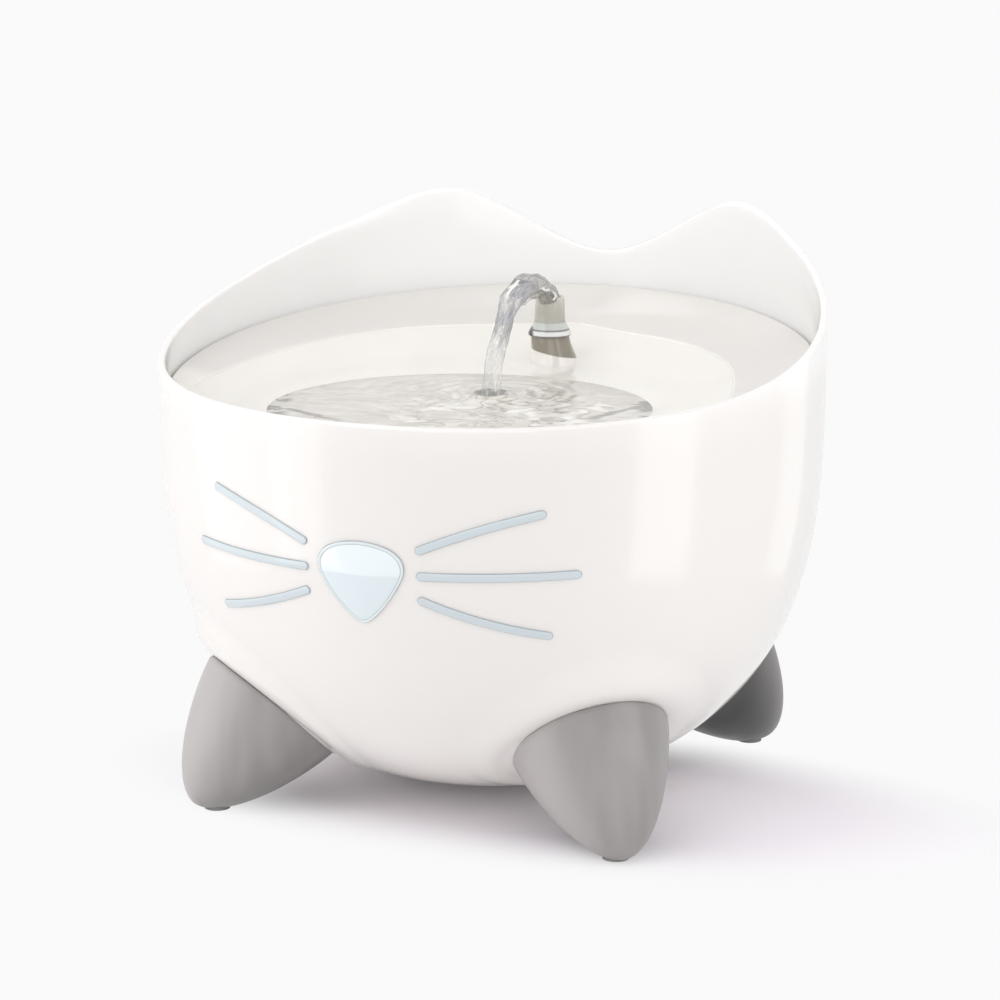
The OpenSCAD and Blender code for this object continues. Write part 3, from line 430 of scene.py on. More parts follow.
def spout_plastic(name, spot, flange, upper, lower, collar):
    """Milky plastic of the spout: painted shade above its flange, and painted dark lines and a
    highlight on its edge.
    """
    finish = Finish(name)
    flat = finish.stretched((1, 1, 0))
    out = finish.distance((*spot, 0), flat)
    swirl = finish.grain(130, detail=2, distortion=0.8)
    height = finish.along(2) + 3 * MM * (swirl - 0.5)
    # Painted shade: the tube is darker just above the flange
    tube = finish.mix(finish.step(height, flange + 4 * MM, flange + 12 * MM), lower, upper)
    rim = finish.step(out, 5.85 * MM, 6.0 * MM)
    # A painted dark line round the flange's top, and a painted highlight on its edge
    seam = finish.step(out, 7.1 * MM, 7.25 * MM) * finish.fall(out, 7.45 * MM, 7.6 * MM)
    edge = finish.step(out, 7.5 * MM, 7.65 * MM)
    across = finish.across(spot[1])
    # Painted shadow: a black crescent at the flange's left end
    end = finish.fall(across, -7.0 * MM, -5.8 * MM)
    left_end_shadow = finish.step(out, 6.7 * MM, 6.9 * MM) * end
    tone = finish.mix(seam * 0.75, finish.mix(rim, tube, collar), PAINTED_DARK_LINE)
    tone = finish.mix(edge * 0.8, tone, PAINTED_EDGE_HIGHLIGHT)
    # Painted shade under the flange's rim
    low_lip = finish.step(out, 7.4 * MM, 7.6 * MM) * finish.fall(
        finish.along(2), flange - 4.35 * MM, flange - 4.15 * MM)
    tone = finish.mix(low_lip * 0.8, tone, LIP_SHADE)
    return finish.surface({
        "Base Color": finish.mix(left_end_shadow * 0.97, tone, PAINTED_SHADOW_BLACK),
        "Roughness": 0.18 + 0.1 * finish.grain(200),
        "Alpha": (0.72 + 0.14 * swirl).at_least(rim),
        "Coat Weight": 0.6, "Coat Roughness": 0.03,
        "Normal": finish.bump(finish.grain(300, detail=1), 0.03 * MM)})


def boss_plastic(name, spot, colour, shade, pale):
    """Gloss plastic of the spout's boss: painted shadow under the flange, painted light below a
    slant line.
    """
    finish = Finish(name)
    across = finish.across(spot[1])
    soft = 0.4 * MM * (finish.grain(260) - 0.5)
    line = finish.along(2) + 0.2 * across + soft
    # Painted shadow of the flange, above a slant line
    under = finish.step(line, 148.6 * MM, 149.0 * MM)
    stripe = finish.step(across, 0.5 * MM, 1.2 * MM) * finish.fall(across, 2.2 * MM, 4 * MM)
    # Painted light: paler just below the shadow, fading to the basin colour at the water
    low = finish.mix(finish.step(line, 143 * MM, 146.5 * MM), colour, pale)
    low = finish.mix(stripe * 0.6, low, shaded(colour, 0.72))
    return finish.surface({
        "Base Color": finish.mix(under, low, shade),
        "Roughness": 0.14 + 0.06 * finish.grain(120), "Coat Weight": 0.5,
        "Normal": finish.bump(finish.grain(200, detail=1), 0.05 * MM)})


def soft_rubber(name, colour):
    """Matte rubber with a dusty bloom."""
    finish = Finish(name)
    dust = finish.grain(240, detail=5, roughness=0.7)
    return finish.surface({
        "Base Color": finish.mix(dust, colour, lighter(colour, 1.5, 0.02)),
        "Roughness": 0.62 + 0.2 * dust,
        "Normal": finish.bump(finish.grain(1800, detail=2), 0.01 * MM)})


def turned_steel(name, colour):
    """Stainless screws with fine turning marks."""
    finish = Finish(name)
    marks = finish.waves({"wave_type": "RINGS", "rings_direction": "Z"}, 900.0, 2.0)
    return finish.surface({
        "Base Color": finish.mix(finish.grain(200), shaded(colour, 0.85), colour),
        "Metallic": 1.0, "Roughness": 0.25 + 0.15 * finish.grain(700),
        "Normal": finish.bump(marks, 0.01 * MM)})


def wound_wire(name, colour):
    """Enamelled copper windings, drawn as fine ridges with painted shade in the grooves between
    them.
    """
    finish = Finish(name)
    ridges = finish.waves({"bands_direction": "X"}, 320.0, 0.3)
    # Painted shade in the grooves between the turns
    return finish.surface({
        "Base Color": finish.mix(ridges, shaded(colour, 0.45), colour),
        "Metallic": 0.9, "Roughness": 0.22 + 0.15 * finish.grain(400),
        "Normal": finish.bump(ridges, 0.15 * MM)})


def laminated_steel(name, colour):
    """Stack of thin steel sheets."""
    finish = Finish(name)
    sheets = finish.waves({"bands_direction": "Z"}, 300.0, 0.1)
    return finish.surface({
        "Base Color": finish.mix(sheets, shaded(colour, 0.6), colour),
        "Metallic": 0.8, "Roughness": 0.4 + 0.2 * finish.grain(500),
        "Normal": finish.bump(sheets, 0.08 * MM)})


def open_foam(name, colour, cell=1.1 * MM):
    """Open-cell foam: painted shade in the pores between lighter struts."""
    finish = Finish(name)
    cells = finish.node("ShaderNodeTexVoronoi", {"feature": "DISTANCE_TO_EDGE"},
                        {"Vector": finish.place(), "Scale": 1 / cell})
    # Painted shade in the pores
    strut = finish.fall(cells, 0.04, 0.3)
    return finish.surface({
        "Base Color": finish.mix(strut, shaded(colour, 0.25), colour),
        "Roughness": 0.85, "Normal": finish.bump(strut, 0.4 * MM)})


def circuit_board(name, colour):
    """Green board with copper tracks under its mask."""
    finish = Finish(name)
    tracks = finish.node("ShaderNodeTexBrick", {"offset": 0.37},
                         {"Vector": finish.place(), "Color1": (0, 0, 0, 1),
                          "Color2": (0.2, 0.2, 0.2, 1), "Mortar": (1, 1, 1, 1),
                          "Scale": 260.0, "Mortar Size": 0.03})
    return finish.surface({
        "Base Color": finish.mix(tracks, colour, lighter(colour, 1.8, 0.03)),
        "Roughness": 0.3 + 0.1 * finish.grain(300), "Coat Weight": 0.4})


# ---- Shapes ----

WELD = 0.0005 * MM


class Shape:
    """Points and faces of a piece in the making."""

    def __init__(self):
        self.points = []
        self.faces = []
        self.zones = []
        self.zone = 0
        self.flow = []

    def rings(self, rings, start=None, end=None):
        """Joins rings of equal size with quads, and closes either end with a fan to a point."""
        first, count = len(self.points), len(rings[0])
        for ring in rings:
            self.points.extend(ring)
        for row in range(len(rings) - 1):
            here = first + row * count
            for i in range(count):
                after = (i + 1) % count
                self.face(here + i, here + after, here + count + after, here + count + i)
        last = first + (len(rings) - 1) * count
        for point, ring in ((start, first), (end, last)):
            if point is not None:
                self.points.append(point)
                for i in range(count):
                    self.face(ring + i, ring + (i + 1) % count, len(self.points) - 1)
        return self

    def face(self, *corners):
        self.faces.append(corners)
        self.zones.append(self.zone)

    def loop(self, rings):
        """Rings joined into a closed skin, the last to the first."""
        return self.rings([*rings, rings[0]])

    def piece(self, name, finishes, body, slot, replaces=(), crease=35):
        """Makes the object, smooth apart from edges sharper than crease degrees."""
        mesh = bpy.data.meshes.new(name)
        mesh.from_pydata([tuple(p) for p in self.points], [], self.faces)
        mesh.polygons.foreach_set("material_index", self.zones)
        if self.flow:
            layer = mesh.attributes.new("flow", "FLOAT_VECTOR", "POINT")
            layer.data.foreach_set("vector", np.ravel(self.flow))
        made = bpy.data.objects.new(name, mesh)
        bpy.context.scene.collection.objects.link(made)
        for finish in finishes:
            mesh.materials.append(finish)
        smooth_over(made, crease)
        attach(made, body)
        if replaces:
            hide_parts(*replaces)
        return made


def smooth_over(made, crease):
    """Welds, turns faces outwards and shades smooth apart from sharp edges."""
    shape = bmesh.new()
    shape.from_mesh(made.data)
    bmesh.ops.remove_doubles(shape, verts=shape.verts, dist=WELD)
    bmesh.ops.dissolve_degenerate(shape, edges=shape.edges, dist=WELD)
    bmesh.ops.recalc_face_normals(shape, faces=shape.faces)
    limit = math.radians(crease)
    for face in shape.faces:
        face.smooth = True
    for edge in shape.edges:
        edge.smooth = len(edge.link_faces) == 2 and edge.calc_face_angle() < limit
    shape.to_mesh(made.data)
    shape.free()


def around(radius, angles, height, centre=(0, 0)):
    """Ring of points at angles in degrees from the front, turning to the right."""
    turn = np.radians(angles)
    radius = np.broadcast_to(radius, turn.shape)
    height = np.broadcast_to(height, turn.shape)
    return np.stack([centre[0] + radius * np.sin(turn), centre[1] - radius * np.cos(turn),
                     height], 1)


def all_round(steps):
    """Even angles in degrees, from the back all the way round."""
    return np.arange(steps) * 360 / steps - 180


def turned(profile, centre, axis=(0, 0, 1), steps=64):
    """Rings of a profile of (radius, distance) turned about an axis through a centre."""
    axis = np.array(Vector(axis).normalized())
    side = np.cross(axis, (1, 0, 0) if abs(axis[0]) < 0.9 else (0, 1, 0))
    side /= np.linalg.norm(side)
    turn = np.radians(all_round(steps))[:, None]
    spoke = np.cos(turn) * side + np.sin(turn) * np.cross(axis, side)
    return [np.array(centre) + radius * spoke + distance * axis for radius, distance in profile]


def through(knots, steps):
    """Smooth rows through rows of points, steps to each stretch."""
    knots = [np.array(k, float) for k in knots]
    rows = []
    for i in range(len(knots) - 1):
        a, b = knots[max(i - 1, 0)], knots[i]
        c, d = knots[i + 1], knots[min(i + 2, len(knots) - 1)]
        for t in np.arange(steps) / steps:
            rows.append(0.5 * (2 * b + (c - a) * t + (2 * a - 5 * b + 4 * c - d) * t * t
                               + (3 * b - a - 3 * c + d) * t ** 3))
    return [*rows, knots[-1]]


def ease(share):
    """Smooth change from 0 to 1 over a share from 0 to 1."""
    share = np.clip(share, 0, 1)
    return share * share * (3 - 2 * share)


# ---- Bowl ----

GLAND_HEIGHT = 116 * MM
GLAND_HOLE = 5.05 * MM
GLAND_RECESS = 7.45 * MM


def straight_from(sizes):
    """Height at which the bowl's wall becomes upright."""
    return sizes.rim_front - 8 * MM


def bowl_radius_at(sizes, height):
    """Outside radius of the bowl at a height."""
    depth = np.clip((straight_from(sizes) - height)
                    / (straight_from(sizes) - sizes.bowl_base), 0, 1)
    return (sizes.bowl_radius * (1 - depth ** CURVE_POWER) ** CURVE_ROOT
            * (1 - CURVE_TAPER * depth))


def bowl_slope_at(sizes, height):
    """How fast the bowl's radius grows with height."""
    span = 0.05 * MM
    low = max(height - span, sizes.bowl_base)
    return (bowl_radius_at(sizes, height + span) - bowl_radius_at(sizes, low)) / (2 * span)


def wall_point(sizes, height, inset):
    """Radius and height of the bowl's section, moved in along its normal."""
    slope = bowl_slope_at(sizes, height)
    length = math.sqrt(1 + slope * slope)
    return (max(bowl_radius_at(sizes, height) - inset / length, 0),
            height + inset * slope / length)


def floor_height_at(sizes, ring):
    """Heights inside the wall of the bowl's floor, under a ring of points."""
    heights = np.linspace(sizes.bowl_base, straight_from(sizes), 400)
    reach = np.hypot(ring[:, 0], ring[:, 1])
    return np.interp(reach, bowl_radius_at(sizes, heights), heights) + sizes.wall / 2


def rim_rise(sizes, angles):
    """How far the rim stands above its front, at angles from the front."""
    rise = sizes.ear_top - sizes.rim_front
    knots = [(a, share * rise, slope * MM) for a, share, slope in RIM_KNOTS]
    knots.append((180, sizes.saddle_rise, 0))
    found = np.zeros(len(angles))
    for k, angle in enumerate(np.abs(angles)):
        i = max(j for j in range(len(knots) - 1) if knots[j][0] <= angle)
        (a0, h0, m0), (a1, h1, m1) = knots[i], knots[i + 1]
        width, t = a1 - a0, (angle - a0) / (a1 - a0)
        found[k] = (h0 * (2 * t ** 3 - 3 * t ** 2 + 1) + h1 * (3 * t ** 2 - 2 * t ** 3)
                    + width * (m0 * (t ** 3 - 2 * t ** 2 + t) + m1 * (t ** 3 - t ** 2)))
    return found


def rim_height(sizes, angles, radius):
    """Height of the rim's top, which falls inwards or outwards from a point on the axis."""
    middle = sizes.rim_front + (sizes.ear_top - sizes.rim_front) / 3
    outer = sizes.rim_front + rim_rise(sizes, angles)
    return middle + (outer - middle) * radius / sizes.bowl_radius


def foot_frames(sizes):
    """Seam centre and axis of each foot, by its name."""
    drop = max(s * math.cos(sizes.foot_tilt) + foot_radius_at(sizes, s) * math.sin(sizes.foot_tilt)
               for s in np.linspace(0, sizes.foot_length, 201))
    ground_gap = 0.2 * MM
    frames = {}
    for name, angle in FOOT_ANGLES.items():
        turn = math.radians(angle)
        out = np.array([math.sin(turn), -math.cos(turn), 0])
        centre = out * sizes.foot_out + np.array([0, 0, drop + ground_gap])
        axis = out * math.sin(sizes.foot_tilt) - np.array([0, 0, math.cos(sizes.foot_tilt)])
        frames[name] = (centre, axis)
    return frames


def foot_radius_at(sizes, along):
    """Radius of a foot at a distance from its seam, along its axis."""
    share = min(along / sizes.foot_length, 1)
    return sizes.foot_radius * (1 - share ** FOOT_BULGE) ** FOOT_POINT


def raise_shoulders(sizes, ring):
    """Lifts the points round each foot's seam to the seam's plane, with a soft run-out."""
    run_out, reach = 17 * MM, 16 * MM
    for centre, axis in foot_frames(sizes).values():
        apart = ring - centre
        along = apart @ axis
        off = np.linalg.norm(apart - along[:, None] * axis, axis=1)
        near = (along < 0) & (along > -reach)
        share = 1 - ease((off - sizes.foot_radius) / run_out)
        ring = ring + np.where(near, -along * share, 0)[:, None] * axis
    return ring


def bowl_skin(sizes):
    """Closed skin of the bowl: outside, rounded rim and inside."""
    curve_rows, straight_rows = 110, 24
    angles = all_round(432)
    curve = (np.arange(1, curve_rows + 1) / curve_rows) ** 1.9
    heights = sizes.bowl_base + (straight_from(sizes) - sizes.bowl_base) * curve
    outer = [raise_shoulders(sizes, around(bowl_radius_at(sizes, z), angles, z))
             for z in heights]
    lip = 0.9 * MM
    inner_radius = sizes.bowl_radius - sizes.wall
    top_out = rim_height(sizes, angles, sizes.bowl_radius)
    top_in = rim_height(sizes, angles, inner_radius)
    start = straight_from(sizes)
    for share in np.linspace(0, 1, straight_rows + 1)[1:]:
        outer.append(around(sizes.bowl_radius, angles, start + (top_out - lip - start) * share))
    for turn in np.radians([20, 40, 60, 90]):
        outer.append(around(sizes.bowl_radius - lip + lip * math.cos(turn), angles,
                            top_out - lip + lip * math.sin(turn)))
    inner = []
    for turn in np.radians([90, 60, 40, 20, 0]):
        inner.append(around(inner_radius + lip - lip * math.cos(turn), angles,
                            top_in - lip + lip * math.sin(turn)))
    for share in np.linspace(1, 0, straight_rows + 1)[1:]:
        inner.append(around(inner_radius, angles, start + (top_in - lip - start) * share))
    for z in heights[:-1][::-1]:
        radius, height = wall_point(sizes, z, sizes.wall)
        inner.append(around(radius, angles, height))
    shape = Shape()
    shape.rings(outer + inner, start=(0, 0, sizes.bowl_base),
                end=(0, 0, sizes.bowl_base + sizes.wall))
    return shape


def gland_cutters():
    """Hole for the cord's gland in the rear wall, and the recess for its flange."""
    inside, recess_floor, outside = 110 * MM, 117.2 * MM, 125 * MM
    return [round_cutter((0, GLAND_HEIGHT), radius, start, outside, lying=True)
            for radius, start in ((GLAND_HOLE, inside), (GLAND_RECESS, recess_floor))]


def bowl_fittings(sizes, shape):
    """Ledge, posts, bosses and foot sockets that are moulded inside the bowl."""
    ledge_in, ledge_top, ledge_low = 110 * MM, 138 * MM, 135 * MM
    wall_in = sizes.bowl_radius - sizes.wall
    low_radius, low_height = wall_point(sizes, 128 * MM, sizes.wall / 2)
    round_off = 0.5 * MM
    shape.loop(turned([(wall_in + MM, ledge_top), (ledge_in + round_off, ledge_top),
                       (ledge_in, ledge_top - round_off), (ledge_in, ledge_low),
                       (low_radius, low_height)], (0, 0, 0), steps=256))
    tip = 0.2 * MM
    post, hole, hole_depth, post_top = 4 * MM, 1.3 * MM, 9 * MM, 30 * MM
    for x in (-16 * MM, 16 * MM):
        for y in (11 * MM, 62 * MM):
            rings = turned([(post, 0), (post, post_top - round_off),
                            (post - round_off, post_top), (hole, post_top),
                            (hole, post_top - hole_depth), (tip, post_top - hole_depth),
                            (tip, 0)], (x, y, 0))
            for ring in (rings[0], rings[-1]):
                ring[:, 2] = floor_height_at(sizes, ring)
            shape.loop(rings)
    boss, boss_hole, boss_face = 3.6 * MM, 1.25 * MM, -105.2 * MM
    hole_end = boss_face - 4.4 * MM
    for z in (75.5 * MM, 123.5 * MM):
        start = -(bowl_radius_at(sizes, z - boss) - sizes.wall / 2)
        shape.loop(turned([(boss, start), (boss, boss_face - round_off),
                           (boss - round_off, boss_face), (boss_hole, boss_face),
                           (boss_hole, hole_end), (tip, hole_end), (tip, start)],
                          (0, 0, z), axis=(0, 1, 0), steps=48))
    gland_boss, gland_face, gland_root = 10 * MM, -112.4 * MM, -117.1 * MM
    shape.loop(turned([(gland_boss, gland_root), (gland_boss, gland_face - round_off),
                       (gland_boss - round_off, gland_face), (GLAND_HOLE, gland_face),
                       (GLAND_HOLE, gland_root)], (0, 0, GLAND_HEIGHT), axis=(0, -1, 0)))
    socket, socket_end, socket_root = 7.4 * MM, -11.4 * MM, 2 * MM
    for centre, axis in foot_frames(sizes).values():
        shape.rings(turned([(socket - MM, socket_end), (socket, socket_end + MM),
                            (socket, socket_root)], centre, axis=axis, steps=48),
                    start=centre + axis * socket_end, end=centre + axis * socket_root)
    return shape


# ---- Face ----

# Sections of the inlays, from the rim inwards: share of the way in, and lift in mm
BEZEL_SECTION = [(0, -0.4), (0, 0.2), (0.2, 0.5), (0.4, 0.6), (0.65, 0.62), (0.88, 0.56),
                 (1, 0.46), (1, -0.4)]
WHISKER_SECTION = [(0, -0.5), (0, 0.12), (0.16, 0.44), (0.3, 0.53), (0.5, 0.58), (1, 0.6)]
NOSE_SECTION = [(0, -0.6), (0, 0.4), (0.02, 0.52)]
NOSE_SECTION += [(s, 0.5 + 1.15 * (1 - (1 - s) ** 2)) for s in np.linspace(0.05, 1, 16)]


def on_wall(sizes, across, up, lift):
    """Point of the bowl's front at a place seen from the front, lifted along the normal."""
    radius = bowl_radius_at(sizes, up)
    slope = bowl_slope_at(sizes, up)
    length = math.sqrt(1 + slope * slope)
    y = -math.sqrt(max(radius * radius - across * across, 0))
    normal = np.array([across / radius, y / radius, -slope]) / length
    return np.array([across, y, up]) + normal * lift


def raised_inlay(sizes, shape, rim, spine, section, side=3):
    """Raised form between a rim and a spine of points, with a section of (share, lift in mm).

    The first rows, up to side, are its side in the second finish.
    """
    rings = []
    for share, lift in section:
        rings.append([on_wall(sizes, *(np.array(p) * (1 - share) + np.array(q) * share), lift * MM)
                      for p, q in zip(rim, spine)])
    for shape.zone, part in ((1, rings[:side]), (0, rings[side - 1:])):
        shape.rings(part)
    return shape


def curve_between(a, b, c, d, steps):
    """Points of a cubic curve, without its last one."""
    t = (np.arange(steps) / steps)[:, None]
    a, b, c, d = (np.array(p, float) for p in (a, b, c, d))
    return a * (1 - t) ** 3 + 3 * b * t * (1 - t) ** 2 + 3 * c * t * t * (1 - t) + d * t ** 3


def nose_outline(sizes, grow):
    """Outline of the nose from its bottom point round to the right, grown by a margin."""
    w, h = sizes.nose_width + 2 * grow, sizes.nose_height + 2 * grow
    low = curve_between((0, 0), (0.107 * w, 0), (0.35 * w, 0.31 * h), (0.467 * w, 0.57 * h), 24)
    high = curve_between((0.467 * w, 0.57 * h), (0.567 * w, 0.793 * h), (0.42 * w, 0.985 * h),
                         (0, h), 24)
    right = np.vstack([low, high, [(0, h)]])
    left = right[1:-1][::-1] * (-1, 1)
    return np.vstack([right, left]) + (0, sizes.nose_low - grow)


def whisker_lines(start, end, bow, width, side):
    """Rim and spine of a bowed bar with round ends."""
    start, end = np.array(start) * MM, np.array(end) * MM
    along = (end - start) / np.linalg.norm(end - start)
    across = np.array([-along[1], along[0]])
    spine, rim = [], []
    for sign, shares in ((1, np.linspace(0, 1, 33)), (-1, np.linspace(1, 0, 33))):
        for t in shares:
            middle = start + (end - start) * t + across * 4 * bow * MM * t * (1 - t)
            spine.append(middle)
            rim.append(middle + sign * across * width / 2)
        tip = end if sign == 1 else start
        for turn in np.radians(np.linspace(90, -90, 13)[1:-1]):
            spine.append(tip)
            rim.append(tip + width / 2 * (sign * along * math.cos(turn)
                                          + sign * across * math.sin(turn)))
    return np.array(rim) * (side, 1), np.array(spine) * (side, 1)


# ---- Dish ----

DISH_CENTRE_X = -5 * MM
POOL_Y = -31 * MM
POOL_FLOOR = 129.5 * MM
DISH_WALL = 2.4 * MM
TRAY_CENTRE = (0, -70 * MM)
TRAY_SIZE = (76 * MM, 59 * MM)
TRAY_CORNER = 8 * MM


def dish_rim_height(back):
    """Height of the dish's rim at a distance behind the axis."""
    low, mid, slope, blend = 146.7, 151.6, 0.122, 1.0
    return (low + blend * np.log1p(np.exp((mid + slope * back / MM - low) / blend))) * MM


def dish_knots(sizes, angles):
    """Main rings of the dish's upper side, from its rim to the pool's floor."""
    away = np.abs(angles)
    dish_radius = 116.8 * MM
    rim_z = dish_rim_height(-dish_radius * np.cos(np.radians(angles)))
    side_reach, front_more, rear_point = 92 * MM, 18 * MM, 9 * MM
    edge_r = (side_reach + front_more * ease((110 - away) / 70)
              + rear_point * np.exp(-((180 - away) / 9) ** 2))
    edge_z = rim_z - (0.9 + 12 * ease((away - 50) / 130)) * MM
    lip = around(dish_radius - 1.6 * MM, angles, rim_z - 0.3 * MM)
    edge = around(edge_r, angles, edge_z, (DISH_CENTRE_X, 0))
    pool_centre, pool_radius, water = (0, POOL_Y), sizes.pool_radius, sizes.water_height
    pool = around(pool_radius, angles, water, pool_centre)
    shelf = (lip + edge) / 2
    shelf[:, 2] -= 0.15 * (lip[:, 2] - edge[:, 2])
    basin = (edge + pool) / 2
    basin[:, 2] -= 0.9 * MM + 0.06 * (edge[:, 2] - water)
    return {
        "rim": around(dish_radius, angles, rim_z - 0.9 * MM),
        "rim_turn": around(dish_radius - 0.3 * MM, angles, rim_z - 0.25 * MM),
        "rim_top": around(dish_radius - 0.9 * MM, angles, rim_z),
        "lip": lip, "shelf": shelf, "edge": edge,
        "edge_turn": around(edge_r - 0.5 * MM, angles, edge_z - 0.08 * MM, (DISH_CENTRE_X, 0)),
        "edge_low": around(edge_r - 1.0 * MM, angles, edge_z - 0.62 * MM, (DISH_CENTRE_X, 0)),
        "step": around(edge_r - 1.5 * MM, angles, edge_z - 0.72 * MM, (DISH_CENTRE_X, 0)),
        "basin": basin, "pool": pool,
        "pool_side": around(pool_radius - 4.7 * MM, angles, water - 4.4 * MM, pool_centre),
        "pool_turn": around(pool_radius - 11 * MM, angles, water - 10.6 * MM, pool_centre),
        "pool_floor": around(pool_radius - 20 * MM, angles, POOL_FLOOR + 0.4 * MM, pool_centre),
        "pool_middle": around(22 * MM, angles, POOL_FLOOR, pool_centre),
    }


def dish_rows(sizes, angles):
    """Rows of the dish's upper side: the shelf's, then the basin's."""
    k = dish_knots(sizes, angles)
    shelf = [k["rim"], k["rim_turn"], k["rim_top"]]
    shelf += through([k["lip"], k["shelf"], k["edge"]], 8)
    basin = [k["edge_turn"], k["edge_low"]]
    basin += through([k["step"], k["basin"], k["pool"], k["pool_side"], k["pool_turn"],
                      k["pool_floor"], k["pool_middle"]], 9)
    return shelf, basin


def dish_body(sizes):
    """Closed skin of the dish, with the shelf and the basin as zones."""
    angles = all_round(288)
    shelf, basin = dish_rows(sizes, angles)
    top = shelf + basin
    low = [row - (0, 0, DISH_WALL) for row in top]
    low[0] = low[0] + (0, 0, 0.6 * MM)
    shape = Shape()
    shape.zone = 1
    shape.rings(shelf)
    shape.zone = 0
    floor = (0, POOL_Y, POOL_FLOOR - 0.1 * MM)
    shape.rings([shelf[-1], *basin], end=floor)
    shape.zone = 1
    shape.rings([top[0], low[0]])
    shape.rings(low, end=np.array(floor) - (0, 0, DISH_WALL))
    return shape


def block(x, y, width, length, low, high):
    """Low and high corner of a box round a place."""
    return ((x - width / 2, y - length / 2, low), (x + width / 2, y + length / 2, high))


def box_cutter(boxes):
    """Object of plain boxes, given by corners, that a cut is made with."""
    shape = bmesh.new()
    for low, high in boxes:
        made = bmesh.ops.create_cube(shape, size=1)
        middle, span = (Vector(low) + Vector(high)) / 2, Vector(high) - Vector(low)
        for vertex in made["verts"]:
            vertex.co = Vector([m + s * c for m, s, c in zip(middle, span, vertex.co)])
    return cutter_object(shape)


def round_cutter(centre, radius, low, high, lying=False):
    """Round rod that a cut is made with, upright or, when lying, from front to back."""
    shape = bmesh.new()
    made = bmesh.ops.create_cone(shape, cap_ends=True, segments=96, radius1=radius,
                                 radius2=radius, depth=high - low)
    for vertex in made["verts"]:
        x, y, along = vertex.co + Vector((0, 0, (low + high) / 2))
        vertex.co = (x, along, -y) if lying else (x, y, along)
        vertex.co += Vector((centre[0], 0, centre[1]) if lying else (*centre, 0))
    return cutter_object(shape)


def cutter_object(shape):
    """Object to cut with, from a mesh in the making."""
    mesh = bpy.data.meshes.new("cutter")
    shape.to_mesh(mesh)
    shape.free()
    made = bpy.data.objects.new("cutter", mesh)
    bpy.context.scene.collection.objects.link(made)
    return made


def cut_away(piece, cutters, crease=35):
    """Takes the cutters out of a piece, one after another, and deletes them."""
    for cutter in cutters:
        change = piece.modifiers.new("cut", "BOOLEAN")
        change.object = cutter
        change.solver = "EXACT"
        bpy.context.view_layer.update()
        graph = bpy.context.evaluated_depsgraph_get()
        mesh = bpy.data.meshes.new_from_object(piece.evaluated_get(graph))
        piece.modifiers.clear()
        piece.data = mesh
        bpy.data.objects.remove(cutter)
    smooth_over(piece, crease)


def surface_under(piece):
    """Function that gives the height of a piece's underside over a place."""
    tree = BVHTree.FromObject(piece, bpy.context.evaluated_depsgraph_get())

    def height(x, y, default):
        hit = tree.ray_cast(Vector((x, y, 0)), Vector((0, 0, 1)))[0]
        return default if hit is None else hit.z
    return height


def rounded_outline(centre, width, length, corner, steps=10):
    """Points of a rectangle with round corners."""
    points = []
    for turn, (sx, sy) in enumerate(((1, 1), (-1, 1), (-1, -1), (1, -1))):
        for share in range(steps + 1):
            angle = math.radians(90 * turn + 90 * share / steps)
            points.append((centre[0] + sx * (width / 2 - corner) + corner * math.cos(angle),
                           centre[1] + sy * (length / 2 - corner) + corner * math.sin(angle)))
    return np.array(points)


def tray_outline(grow):
    """Outline of the filter tray, grown by a margin."""
    return rounded_outline(TRAY_CENTRE, TRAY_SIZE[0] + 2 * grow, TRAY_SIZE[1] + 2 * grow,
                           TRAY_CORNER + grow)


def wall_under(shape, outlines, low, high, underside):
    """Wall between two outlines, from a low edge into the dish, or up to high beside it."""
    bury = 0.8 * MM
    (inner, inner_top), (outer, outer_top) = [
        (np.column_stack([outline, np.full(len(outline), low)]),
         np.column_stack([outline, [underside(x, y, high) + bury for x, y in outline]]))
        for outline in outlines]
    shape.loop([inner, inner_top, outer_top, outer])


def dish_fittings(sizes, shape, underside):
    """Skirt, filter collar and spout boss that are moulded onto the dish."""
    skirt = [around(radius, all_round(288), 0)[:, :2] for radius in (111.4 * MM, 113.2 * MM)]
    wall_under(shape, skirt, 138.3 * MM, 150 * MM, underside)
    collar = [tray_outline(grow) for grow in (0.3 * MM, 1.9 * MM)]
    wall_under(shape, collar, 119 * MM, 130 * MM, underside)
    bore, top, lean_from, lean_to = sizes.spout_radius / MM + 0.05, 156.7, 143.3, 156.3
    outside = [(bore, 136.5), (7.2, 136.5), (7.2, 140), (9.8, 143.4), (8.9, 145.4),
               (8.1, 148.4), (7.5, 152.4), (7.1, lean_to), (6.8, top), (bore, top)]
    rings = turned([(radius * MM, height * MM) for radius, height in outside],
                   (0, sizes.spout_y, 0), steps=96)
    lean = 2 * MM * np.array([math.cos(STREAK_TURN), math.sin(STREAK_TURN), 0])
    for i, (_, height) in enumerate(outside[:-1]):
        if height > lean_from:
            rings[i] = rings[i] + lean * ease((lean_to - height) / (lean_to - lean_from))
    shape.zone = 1
    shape.loop(rings)
    return shape


# ---- Spout and water ----

# The stream's middle line, as distance behind the axis and height, and its radius, in mm
JET_PATH = [(58, 160), (57.6, 166), (56, 169.6), (52.8, 172.2), (47.3, 174.6), (41.4, 176.2),
            (33.2, 177.2), (26.5, 176.5), (19.6, 174), (13.9, 169.8), (9.4, 164.5),
            (5.2, 159.4), (1.4, 152.6), (-0.8, 146), (-1.4, 142)]
JET_RADIUS = [4.1, 4.2, 4.2, 4.1, 3.9, 4.1, 4.7, 4.8, 4.1, 3.5, 3.3, 3.3, 3.3, 3.6, 4.1]
# Where the stream meets the water
LANDING = (0.0, -1.2 * MM)

